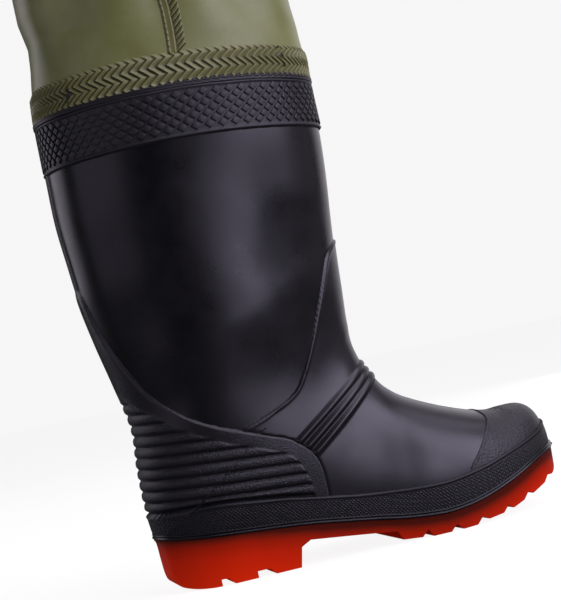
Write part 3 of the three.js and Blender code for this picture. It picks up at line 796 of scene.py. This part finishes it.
def rhombFaces(base, flip):
    last = len(rhombLook["rings"]) - 1
    faces = []
    for ring in range(last + 1):
        for c in range(4):
            a, b = base + ring * 4 + c, base + ring * 4 + (c + 1) % 4
            faces.append((a, b, b + 4, a + 4) if ring < last else (a, b, base + 4 * (last + 1)))
    faces.append((base + 3, base + 2, base + 1, base))
    return [face[::-1] for face in faces] if flip else faces


def bandRhombs():
    look = rhombLook
    vertices, faces = [], []
    levels = np.linspace(placeOfHeight(look["from"]), lastPlace - 0.01, look["levels"])
    for side in (-1, 1):
        points, normals = halfGrid(levels, look["columns"], side)
        half = float(lengthsAlong(points[len(points) // 2])[-1])
        count = int(half / look["pitch"] + 0.5)
        for row in range(look["rows"]):
            level = look["firstRow"] + row * look["rowPitch"] / 2
            for k in range(count + (row + 1) % 2):
                if row % 2 == 0 and k in (0, count) and side > 0:
                    continue
                turn = (k + 0.5 * (row % 2)) / count
                share = 2 * float(closer(turn / 2))
                wide = 1 - bandLook["gather"] * math.cos(2 * math.pi * turn)
                z = level - float(bandDrop(share))
                faces += rhombFaces(len(vertices), side > 0)
                vertices += rhombPoints(points, normals, share, z, wide, half)
    piece = newPiece("collarRhombs", inMetres(vertices).tolist(), faces)
    editAll(piece, (bpy.ops.mesh.normals_make_consistent, {"inside": False}))
    bpy.ops.object.shade_smooth_by_angle(angle=math.radians(look["sharp"]))
    dress(piece, bandRubber, ["collar_band"])


bandRhombs()
print("black pieces done")

# Outsole: a slab on the welt's outline, cut by the line of the tread
soleLook = {
    "notchDepth": 4.6, "notchSlope": 4.2, "notchLean": 4.8, "channel": 6, "channelDepth": 3, "bevel": 0.7,
    "bevelFrom": 32, "smoothTo": 35, "taperMiddle": 0.1, "back": -70, "length": 340, "curveTop": 50.0,
    # Painted shade ahead of the heel and painted light emitted by the red rubber are set here too
    "curvePoints": 18, "deep": 40.0, "uneven": 1.2, "paintedShadeDepth": 3.2, "paintedShadeReach": 0.06, "paintedGlow": 0.17,
    "roughness": 0.42, "specular": 0.08,
}
heelLugs = [(0.09, 0.106, 0, 0), (0.136, 0.19, 0, 0), (0.233, 0.292, 0, 0)]
ballLugs = [
    (0.541, 0.586, 0.06, 0.025), (0.613, 0.656, 0, 0), (0.687, 0.723, 0, 0.01), (0.756, 0.797, 0.064, 0.1),
    (0.8265, 0.861, 0.144, 0.23), (0.8925, 0.939, 0.3, 0.42), (0.974, 0.9855, 0.525, 0.56),
]
heelBack = [
    (-0.006, 0.98), (0.003, 0.9), (0.007, 0.55), (0.011, 0.28), (0.02, 0.125), (0.038, 0.06), (0.062, 0.02),
]
shank = [(0.3015, 0.37), (0.325, 17.4 / 37.5), (0.53, 0.24)]
toeFront = [(0.9987, 0.64), (1.007, 0.86), (1.02, 1.05)]
channelPath = [(0.5, -2.3), (0.6, -1.7), (0.72, 0), (0.8, 1.7), (0.87, 3.5), (0.92, 5.4), (0.957, 6.5)]
# Depth under the welt and colour of the sole, from deep red under the bead to the bright tread: partly the
# black upper seen through the clear rubber, partly painted shade under the bead
soleColoursAndShade = [
    (0.02, (0.07, 0.006, 0.003)), (0.07, (0.16, 0.009, 0.003)), (0.16, (0.34, 0.011, 0.002)),
    (0.38, (0.56, 0.016, 0.002)), (1.0, (0.84, 0.025, 0.002)),
]


def solePoint(share):
    return share[0] * footLength, share[1] * heelSole


def lugPoints(lugs, lean, slope):
    points = []
    for i, (start, end, startLift, endLift) in enumerate(lugs):
        x0, z0 = solePoint((start, startLift))
        x1, z1 = solePoint((end, endLift))
        if i and slope:
            points.append((x0 - slope, z0 + soleLook["notchDepth"]))
        points += [(x0, z0), (x1, z1)]
        if i < len(lugs) - 1:
            points.append((x1 + lean, z1 + soleLook["notchDepth"]))
    return points


heelCurve = smoothLine([solePoint(p) for p in heelBack + [heelLugs[0][:1] + (0,)]], 36)[:-1]
tread = list(map(tuple, heelCurve)) + lugPoints(heelLugs, 0, soleLook["notchSlope"])
tread += [solePoint(p) for p in shank] + lugPoints(ballLugs, soleLook["notchLean"], 0)
tread += [solePoint(p) for p in toeFront]


def prism(name, outline, place, depth):
    # A flat outline in millimetres, filled and drawn out into a closed solid
    points = [Vector(place(*p)) * 0.001 - Vector((boot["originX"] * 0.001, 0, 0)) for p in outline]
    piece = newPiece(name, points, [list(range(len(points)))])
    editAll(piece,
            (bpy.ops.mesh.extrude_region_move, {"TRANSFORM_OT_translate": {"value": Vector(depth) * 0.001}}),
            (bpy.ops.mesh.normals_make_consistent, {"inside": False}))
    return piece


def cutWith(piece, tool, operation):
    focus(piece)
    change = piece.modifiers.new("cut", "BOOLEAN")
    change.object, change.operation, change.solver = tool, operation, "EXACT"
    bpy.ops.object.modifier_apply(modifier="cut")
    bpy.data.objects.remove(tool)


def channelTool():
    # The channel between the lugs of the forefoot, which has a level ceiling over the ends of each lug
    ends = [(lug[k], lug[k + 2]) for lug in ballLugs[:-1] for k in (0, 1)]
    path = np.array(channelPath)
    strip = [(x * footLength, np.interp(x, path[:, 0], path[:, 1])) for x, _ in ends]
    half = soleLook["channel"] / 2
    tool = prism("groove", [(x, y - half) for x, y in strip] + [(x, y + half) for x, y in strip[::-1]],
                 lambda x, y: (x, y, -20), (0, 0, 60))
    line = [solePoint(end) for end in ends]
    roof = [(line[0][0] - 1, -30)] + [(x, z + soleLook["channelDepth"]) for x, z in line]
    roof.append((line[-1][0] + 1, -30))
    cutWith(tool, prism("ceiling", roof, lambda x, z: (x, -20, z), (0, 40, 0)), "INTERSECT")
    return tool


def taperSole(piece):
    # The sole grows narrower towards the floor
    for vertex in piece.data.vertices:
        down = 1 - min(max(vertex.co.z / (heelSole * 0.001), 0), 1)
        reach = vertex.co - Vector((soleLook["taperMiddle"], 0, vertex.co.z))
        if reach.length:
            vertex.co -= reach.normalized() * (boot["soleTaper"] * 0.001) * down


soleLoop = moveLoop(welt[::3], outward * boot["soleEdge"])
sole = prism("outsoleTread", soleLoop.tolist(), lambda x, y: (x, y, -5), (0, 0, 60))
taperSole(sole)
weltTop = [(x, z) for x, z in weltLine if -0.04 * footLength < x < 1.045 * footLength][::6]
profile = prism("profile", tread + weltTop[::-1], lambda x, z: (x, -150, z), (0, 300, 0))
cutWith(sole, profile, "INTERSECT")
cutWith(sole, channelTool(), "DIFFERENCE")
editAll(sole, (bpy.ops.mesh.remove_doubles, {"threshold": 5e-5}),
        (bpy.ops.mesh.dissolve_limited, {"angle_limit": math.radians(0.05)}))
bevel = sole.modifiers.new("bevel", "BEVEL")
bevel.width = soleLook["bevel"] * 0.001
bevel.segments = 2
bevel.limit_method = "ANGLE"
bevel.angle_limit = math.radians(soleLook["bevelFrom"])
bevel.use_clamp_overlap = True
bpy.ops.object.modifier_apply(modifier="bevel")
bpy.ops.object.shade_smooth_by_angle(angle=math.radians(soleLook["smoothTo"]))
even = sole.modifiers.new("even", "WEIGHTED_NORMAL")
even.keep_sharp = True
bpy.ops.object.modifier_apply(modifier="even")


def soleMaterial():
    # The colour follows the depth under the welt, which a curve along the foot gives
    look = soleLook
    material, tree, shader, place, texture = startMaterial("redSole", 500.0)
    split = addNode(tree, "ShaderNodeSeparateXYZ", [(place, "Vector")])
    fromBack = mathNode(tree, "ADD", split.outputs["X"], -look["back"] * 0.001)
    share = mathNode(tree, "DIVIDE", fromBack, look["length"] * 0.001)
    curve = addNode(tree, "ShaderNodeFloatCurve", [(share, "Value")])
    points = curve.mapping.curves[0].points
    last = look["curvePoints"] - 1
    for i, t in enumerate(np.linspace(0, 1, look["curvePoints"])):
        height = float(weltAt(t * look["length"] + look["back"] + boot["originX"])) / look["curveTop"]
        if i in (0, last):
            points[0 if i == 0 else -1].location = (float(t), height)
        else:
            points.new(float(t), height)
    curve.mapping.update()
    depth = mathNode(tree, "SUBTRACT", mathNode(tree, "MULTIPLY", curve.outputs[0], look["curveTop"]),
                     mathNode(tree, "MULTIPLY", split.outputs["Z"], 1000.0))
    depth = mathNode(tree, "ADD", depth, mathNode(tree, "MULTIPLY", texture.outputs["Wear"], look["uneven"]))
    # Painted shade: ahead of the heel the sole counts as nearer the welt, so its red is deeper there
    paintedFrontShade = addNode(tree, "ShaderNodeMapRange", [(split.outputs["X"], "Value")],
                      inputs={"From Min": 0.0, "From Max": look["paintedShadeReach"], "To Max": look["paintedShadeDepth"]})
    depth = mathNode(tree, "SUBTRACT", depth, paintedFrontShade.outputs[0])
    ramp = addNode(tree, "ShaderNodeValToRGB", [(mathNode(tree, "DIVIDE", depth, look["deep"]), "Fac")])
    stops = ramp.color_ramp.elements
    for k, (position, colour) in enumerate(soleColoursAndShade):
        stop = stops[-1] if k == len(soleColoursAndShade) - 1 else stops[0] if k == 0 else stops.new(position)
        stop.position = position
        stop.color = (*colour, 1)
    # The ramp's colour is also emitted: painted light, so the red rubber shines without a lamp
    for label in ("Base Color", "Emission Color"):
        tree.links.new(ramp.outputs["Color"], shader.inputs[label])
    setInputs(shader, {"Emission Strength": look["paintedGlow"], "Roughness": look["roughness"],
                       "Specular IOR Level": look["specular"]})
    addBump(tree, texture.outputs["Height"], 0.5, 0.00012)
    return material


dress(sole, soleMaterial(), ["outsole"])
print("sole done")

# Leg: coated cloth that stands up from the rim, with soft hanging folds
legLook = {
    "top": 462, "tuck": 331, "thickness": 1.0, "rows": 80, "columns": 260, "rimFree": 345.4, "tuckIn": 0.5,
    "tableRows": 200, "tableColumns": 720, "looseFrom": (366, 410), "waveFrom": (366, 390), "wave": 0.4,
    "waves": 5, "waveLean": 0.045, "foldMiddle": 400, "ringSteps": 1441, "section": (0.43, 2.2, 2.1, 0),
}
# Share of the height over the rim, then back, front and half width as shares of the shaft's size
legShares = [(0.01, -0.502, 0.502, 0.492), (0.12, -0.498, 0.505, 0.497), (0.32, -0.483, 0.495, 0.492),
             (0.46, -0.477, 0.484, 0.485), (0.62, -0.494, 0.477, 0.484), (1.02, -0.493, 0.483, 0.49)]
# Share of the girth, width, depth and lean of each soft fold
legFolds = [
    (0.055, 0.03, 1.8, 0.0003), (0.1, 0.035, -3.2, 0.0005), (0.17, 0.03, 2.2, 0.0004),
    (0.235, 0.022, -1.6, 0), (0.3, 0.03, 1.4, -0.0004), (0.36, 0.026, -1.5, -0.0005),
    (0.42, 0.03, 2.0, -0.0006), (0.49, 0.02, 1.2, 0), (0.58, 0.03, -2.4, 0.0004), (0.66, 0.025, 1.4, 0),
    (0.78, 0.03, -2.0, -0.0005), (0.9, 0.03, 1.7, 0),
]


def legRing(z):
    # Back, front and half width of the leg at one height, as shares of the shaft's size
    rim = boot["shaftHeight"]
    inward = boot["wall"] + legLook["tuckIn"]
    deep, wide = inward / boot["shaftDepth"], inward / boot["shaftWidth"]
    inner = (deep - 0.5, 0.5 - deep, 0.5 - wide)
    table = np.array([(-0.2, *inner), (0.0, *inner)] + legShares)
    share = (z - rim) / (legLook["top"] - rim)
    return [float(np.interp(share, table[:, 0], table[:, k])) for k in (1, 2, 3)]


def legTable():
    # Points and outward directions of the leg at even heights and even shares of its girth
    look = legLook
    heights = np.linspace(look["tuck"] - 1, look["top"] + 1, look["tableRows"])
    turns = np.linspace(-math.pi / 2, 1.5 * math.pi, look["ringSteps"])
    share = np.linspace(0, 1, look["tableColumns"] + 1)
    points, outs = [], []
    for z in heights:
        backX, frontX, halfWidth = legRing(z)
        backX, frontX = (shaftMiddle + end * boot["shaftDepth"] for end in (backX, frontX))
        row = np.array([backX, z, frontX, z, halfWidth * boot["shaftWidth"], *look["section"]])
        ring = sectionPoints(row[None, :], turns)
        steps = lengthsAlong(ring)
        even = np.stack([np.interp(share * steps[-1], steps, ring[:, k]) for k in range(3)], -1)
        tangent = np.roll(even[:-1], -6, axis=0) - np.roll(even[:-1], 6, axis=0)
        tangent /= np.linalg.norm(tangent, axis=1, keepdims=True)
        normal = np.stack([tangent[:, 1], -tangent[:, 0], np.zeros(len(tangent))], -1)
        normal = np.vstack([normal, normal[:1]])
        loose = float(ease(np.array(z), *look["looseFrom"]))
        up = z - look["foldMiddle"]
        fold = sum(depth * np.exp(-(((share - place - lean * up + 0.5) % 1 - 0.5) / width) ** 2)
                   for place, width, depth, lean in legFolds)
        wave = look["wave"] * np.sin(share * 2 * math.pi * look["waves"] + z * look["waveLean"])
        wave = wave * float(ease(np.array(z), *look["waveFrom"]))
        points.append(even + normal * (fold * loose + wave)[:, None])
        outs.append(normal)
    return heights, np.array(points), np.array(outs)


legHeights, legPoints, legOuts = legTable()
legGirth = float(np.linalg.norm(np.diff(legPoints[len(legPoints) // 2], axis=0), axis=1).sum())


def runOf(along, across):
    return np.stack(np.broadcast_arrays(along, across), -1)


def legSurface(z, share, lift):
    z, share, lift = np.broadcast_arrays(z, share, lift)
    row = np.clip((z - legHeights[0]) / (legHeights[1] - legHeights[0]), 0, len(legHeights) - 1.001)
    column = (share % 1) * legLook["tableColumns"]
    i, j = row.astype(int), np.minimum(column.astype(int), legLook["tableColumns"] - 1)
    a, b = (row - i)[..., None], (column - j)[..., None]
    at, out = (table[i, j] * (1 - a) * (1 - b) + table[i + 1, j] * a * (1 - b) + table[i, j + 1] * (1 - a) * b
               + table[i + 1, j + 1] * a * b for table in (legPoints, legOuts))
    out = out / np.linalg.norm(out, axis=-1, keepdims=True)
    return at + out * lift[..., None]


def clothMaterial(name, colour, shade, gloss, groove=None, crestHighlight=None):
    material, tree, shader, _, texture = startMaterial(name, 1400.0)
    shown = mixColours(tree, texture.outputs["Wear"], colour, shade)
    if groove:
        # The UV run of a stroked tape holds the height of its strokes: low places get painted shade, the
        # highest a pale painted highlight
        relief = addNode(tree, "ShaderNodeUVMap", uv_map="run")
        part = addNode(tree, "ShaderNodeSeparateXYZ", [(relief.outputs["UV"], "Vector")])
        pressed = mixColours(tree, part.outputs["X"], groove, shown)
        high = addNode(tree, "ShaderNodeMapRange", [(part.outputs["X"], "Value")],
                       inputs={"From Min": 1.0, "From Max": 1.3})
        shown = mixColours(tree, high.outputs[0], pressed, crestHighlight)
    tree.links.new(shown, shader.inputs["Base Color"])
    addBump(tree, texture.outputs["Height"], 0.6, 0.0001)
    setInputs(shader, {"Roughness": gloss})
    return material


oliveCloth = clothMaterial("oliveCloth", (0.15, 0.158, 0.052), (0.19, 0.195, 0.078), 0.4)
# The last two colours of the tape are painted shade for its stroke grooves and a painted highlight for their
# crests
tapeCloth = clothMaterial("tapeCloth", (0.135, 0.132, 0.042), (0.175, 0.168, 0.062), 0.42,
                          (0.03, 0.028, 0.008), (0.36, 0.34, 0.19))


def legPiece():
    levels = np.linspace(legLook["tuck"], legLook["top"], int(legLook["rows"] * detail))[:, None]
    shares = np.linspace(0, 1, int(legLook["columns"] * detail))[None, :]
    return gridPiece("legCloth", legSurface(levels, shares, 0.0), runOf(shares * legGirth, levels),
                     oliveCloth, "leg", legLook["thickness"])


leg = legPiece()

# Welded tape: rows of leaning strokes that meet in a zigzag, pressed into a flat strip
tapeLook = {
    "low": 345.4, "high": 371.0, "row": 5.8, "rowStart": 2.9, "pitch": 5.0, "reach": 7.1, "stroke": 1.15,
    "lift": 0.3, "sunk": 0.25, "rough": 0.05, "fadeFrom": 364.5, "fadeEnd": 0.5, "leaning": 0.45,
    "steps": 4, "wall": 0.5,
}
strokeShape = [(0.0, 0.0), (0.3, 0.0), (0.35, 1.0), (0.41, 1.35), (0.5, 0.9), (0.88, 0.84), (0.95, 0.5)]
strokeCount = int(legGirth / tapeLook["pitch"] + 0.5)


def strokeRow(count):
    # Places and heights along a row of strokes
    places = [k + at for k in range(count) for at, _ in strokeShape] + [count]
    heights = [height for _ in range(count) for _, height in strokeShape] + [0.0]
    return np.array(places), np.array(heights)


def hangOnRim(z, share, lift):
    # Points that lie on the leg's outside and follow the dip of the band, also below the rim
    low = z - bandDrop(2 * (share % 1))
    at = legSurface(np.maximum(low, legLook["rimFree"]), share, lift + 0 * z)
    at[..., 2] = low
    return at


def weldTapePiece():
    look = tapeLook
    places, relief = strokeRow(strokeCount)
    levels = np.arange(look["low"], look["high"] + 0.1, look["row"] / look["steps"])[:, None]
    rows = (levels - look["low"] + look["rowStart"]) / look["row"]
    zigzag = np.abs(rows % 2 - 1) * look["reach"] / legGirth
    rough = np.random.default_rng(7).normal(0, 1, (len(levels), len(places)))
    rough[:, -1] = rough[:, 0]
    fade = 1 - ease(levels, look["fadeFrom"], look["high"] - look["fadeEnd"])
    lift = look["lift"] * fade - look["sunk"] * (1 - fade) + relief * look["stroke"] * fade
    lift = lift + look["rough"] * rough * relief
    # The run's first part sets the painted shade in the stroke grooves and the painted highlight on their
    # crests, weaker in every other row and gone where the tape fades into the cloth
    leaning = look["leaning"] * (np.floor(rows) % 2)
    run = runOf(1000 * (1 - (1 - relief[None, :]) * fade * (1 - leaning)), levels)
    points = hangOnRim(levels, closer(places[None, :] / strokeCount) + zigzag, lift)
    return gridPiece("weldTape", points, run, tapeCloth, "weld_tape", look["wall"])


weldTape = weldTapePiece()

# Black rubber pressed up over the lower edge of the tape, with an uneven rim
flashLook = {
    "low": 343.0, "top": 347.4, "uneven": 0.7, "waves": 14, "tooth": 1.5, "lift": 2.2, "columns": 900,
    "wall": 0.6,
}
flashSection = [
    (0.0, 0.4), (0.1, 0.75), (0.2, 0.98), (0.34, 0.98), (0.44, 0.8), (0.54, 0.82), (0.64, 1.02),
    (0.8, 0.98), (0.93, 0.62), (1.0, -0.1),
]


def collarFlash():
    look = flashLook
    shares = np.linspace(0, 1, int(look["columns"] * detail))
    waves = np.random.default_rng(21).uniform(0, 1, (look["waves"], 2))
    uneven = sum(np.sin(2 * math.pi * (shares * (k * 7 + 5) + shift)) * size / (1 + 0.25 * k)
                 for k, (shift, size) in enumerate(waves))
    turns = np.linspace(0, 1, 400)
    strokes = np.interp(shares, closer(turns), turns) * strokeCount
    teeth = np.clip(np.cos(2 * math.pi * strokes), 0, 1) ** 0.7
    teeth = teeth * ease(np.sin(2 * math.pi * (shares - 0.2) * 2), 0, 0.6)
    rim = look["top"] + look["uneven"] * uneven / 3 + look["tooth"] * teeth
    section = np.array(flashSection)
    z = look["low"] + (rim - look["low"])[None, :] * section[:, :1]
    points = hangOnRim(z, shares[None, :], section[:, 1:] * look["lift"])
    gridPiece("collarFlash", points, runOf(shares[None, :] * legGirth, z), bandRubber,
              "collar_band", look["wall"])


collarFlash()

# Crumbs of black rubber stuck to the tape, each spot with its share of the girth, height and count, and the
# small nib at the toe
crumbLook = {
    "spots": [(0.09, 352.0, 15), (0.4, 357.5, 7)], "spreadUp": 3.6, "spreadAlong": 1.1, "lift": 1.3,
    "nibRadius": 0.0012, "nibBack": 0.6, "nibSide": -2, "nibUp": 1.0,
}


def rubberCrumbs():
    look = crumbLook
    random = np.random.default_rng(5)
    made = bmesh.new()
    for share, z, count in look["spots"]:
        for _ in range(count):
            at = legSurface(np.array(z + random.normal(0, look["spreadUp"])),
                            np.array(share + random.normal(0, look["spreadAlong"]) / legGirth),
                            np.array(look["lift"] + random.uniform(0, 0.4)))
            radius = 0.001 * random.uniform(0.45, 0.95)
            lump = bmesh.ops.create_icosphere(made, subdivisions=2, radius=radius)["verts"]
            stretch = Vector((random.uniform(0.6, 1.0), random.uniform(0.5, 0.8), random.uniform(1.0, 2.3)))
            turn = Matrix.Rotation(random.normal(0, 0.7), 4, "Y")
            centre = (Vector(at) - Vector((boot["originX"], 0, 0))) * 0.001
            for vertex in lump:
                wobble = 1 + 0.25 * math.sin(vertex.co.x * 5200 + vertex.co.z * 4100 + vertex.co.y * 3700)
                vertex.co = centre + turn @ Vector(a * b for a, b in zip(vertex.co * wobble, stretch))
    nib = bmesh.ops.create_icosphere(made, subdivisions=2, radius=look["nibRadius"])["verts"]
    front = footLength * footSections[0][0] + beadLook["proud"] - boot["originX"] - look["nibBack"]
    tip = Vector((front, look["nibSide"], float(weltAt(footLength)) + look["nibUp"])) * 0.001
    for vertex in nib:
        vertex.co = tip + Vector((vertex.co.x * 1.1, vertex.co.y, vertex.co.z * 0.8))
    piece = newPiece("rubberCrumbs", [], [])
    made.to_mesh(piece.data)
    made.free()
    bpy.ops.object.shade_smooth()
    dress(piece, bandRubber, [])


rubberCrumbs()

# Seam tape up the leg: beaded edge, plain strip, then a row of short leaning strokes
seamLook = {
    "place": 72, "width": 14.2, "lean": 0.048, "low": 367, "pitch": 4.2, "slope": 0.9, "stroke": 0.9,
    "strokesFrom": 7.2, "strokesWide": 6.2, "level": 400, "belowTop": 0.1, "wall": 0.4,
}
# Place across the tape, height, and how much of the strokes it takes
seamAcross = [
    (0.0, -0.2, 0), (0.6, 0.3, 0), (1.2, 0.9, 0), (1.9, 0.95, 0), (2.4, 0.25, 0), (3.0, 0.35, 0),
    (4.6, 0.45, 0), (5.4, 1.0, 0), (6.2, 1.0, 0), (6.8, 0.3, 0), (7.2, 0.3, 1), (9, 0.3, 1), (11, 0.3, 1),
    (12.6, 0.3, 1), (13.4, 0.5, 0.2), (13.8, 0.3, 0), (14.2, -0.2, 0),
]


def seamTapePiece():
    look = seamLook
    across, plainHeight, slanted = (np.array(column)[None, :] for column in zip(*seamAcross))
    places, relief = strokeRow(int((legLook["top"] - look["low"]) / look["pitch"]))
    relief = relief[:, None]
    slope = np.clip(across - look["strokesFrom"], 0, look["strokesWide"]) * look["slope"]
    z = np.minimum(look["low"] + places[:, None] * look["pitch"] + slope, legLook["top"] - look["belowTop"])
    front = legPoints[np.argmin(np.abs(legHeights - look["level"]))][:legLook["tableColumns"] // 2]
    middle = float(np.interp(look["place"], front[:, 0], np.arange(len(front)))) / legLook["tableColumns"]
    shares = middle + (across - look["width"] / 2 + (z - look["low"]) * look["lean"]) / legGirth
    lift = plainHeight * np.ones_like(z)
    lift = np.where((across > 1) & (across < 2), lift * (0.55 + 0.6 * relief), lift)
    lift = lift + slanted * relief * look["stroke"]
    # Painted shade in the stroke grooves and between the lumps of the beaded edge, painted highlight on the
    # stroke crests; the plain strip keeps the tape's colour
    dark = np.where(slanted > 0, relief, np.where((across > 0.9) & (across < 2.1), 0.1 + 0.4 * relief, 1.0))
    return gridPiece("legSeamTape", legSurface(z, shares, lift), runOf(1000 * np.clip(dark, 0, 1.3), z),
                     tapeCloth, "leg_seam_tape", look["wall"])


seamTape = seamTapePiece()
print("leg done, girth mm", legGirth)

# Insole keeps its solid and gets a felt finish
felt = clothMaterial("innerFelt", (0.045, 0.043, 0.04), (0.06, 0.058, 0.055), 0.9)
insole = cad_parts["insole"]
insole.data.materials.clear()
insole.data.materials.append(felt)

# Floor and light. Each lamp has its power, place and size
light = {
    "aim": (0.08, 0, 0.2), "seen": 0.925, "around": 0.045, "floorTone": 0.13, "floorGlow": 0.9,
    "tint": (0.97, 0.93, 1.0),
}
lamps = {
    "key": (12, (1.0, -0.95, 0.8), 0.9), "top": (12, (0.6, -0.2, 1.5), 1.2),
    "toeSide": (1.4, (1.5, -0.4, 0.6), 1.1), "left": (7, (-1.3, -1.0, 0.3), 1.7),
    "backRight": (5, (1.2, 0.9, 0.6), 1.2), "backLeft": (5, (-1.1, 0.8, 0.6), 1.0),
    "lowFront": (0.45, (0.29, -0.53, 0.19), 0.18),
}
bpy.ops.object.select_all(action="DESELECT")
bpy.ops.mesh.primitive_plane_add(size=12, location=(0, 0, 0))
floor = bpy.context.object
floor.name = "floor"
paint = bpy.data.materials.new("paleFloor")
paint.use_nodes = True
matt = paint.node_tree.nodes["Principled BSDF"]
tone = (*[light["floorTone"]] * 3, 1)
setInputs(matt, {"Base Color": tone, "Roughness": 0.9, "Emission Color": (1, 1, 1, 1)})
seen = addNode(paint.node_tree, "ShaderNodeLightPath").outputs["Is Camera Ray"]
paint.node_tree.links.new(mathNode(paint.node_tree, "MULTIPLY", seen, light["floorGlow"]),
                          matt.inputs["Emission Strength"])
floor.data.materials.append(paint)
world = bpy.data.worlds.new("studio")
world.use_nodes = True
air = world.node_tree
sky = air.nodes["Background"]
sky.inputs["Color"].default_value = (1, 1, 1, 1)
path = addNode(air, "ShaderNodeLightPath").outputs["Is Camera Ray"]
strength = addNode(air, "ShaderNodeMapRange", [(path, "Value")],
                   inputs={"To Min": light["around"], "To Max": light["seen"]})
air.links.new(strength.outputs[0], sky.inputs["Strength"])
bpy.context.scene.world = world
bpy.context.scene.view_settings.view_transform = "Standard"


def addLight(name, energy, at, size):
    data = bpy.data.lights.new(name, "AREA")
    data.energy = energy
    data.size = size
    data.color = light["tint"]
    lamp = bpy.data.objects.new(name, data)
    lamp.visible_camera = False
    aim = Vector(light["aim"]) - Vector(at)
    lamp.matrix_world = Matrix.Translation(at) @ aim.to_track_quat("-Z", "Y").to_matrix().to_4x4()
    bpy.context.scene.collection.objects.link(lamp)


for name, (energy, at, size) in lamps.items():
    addLight(name, energy, at, size)
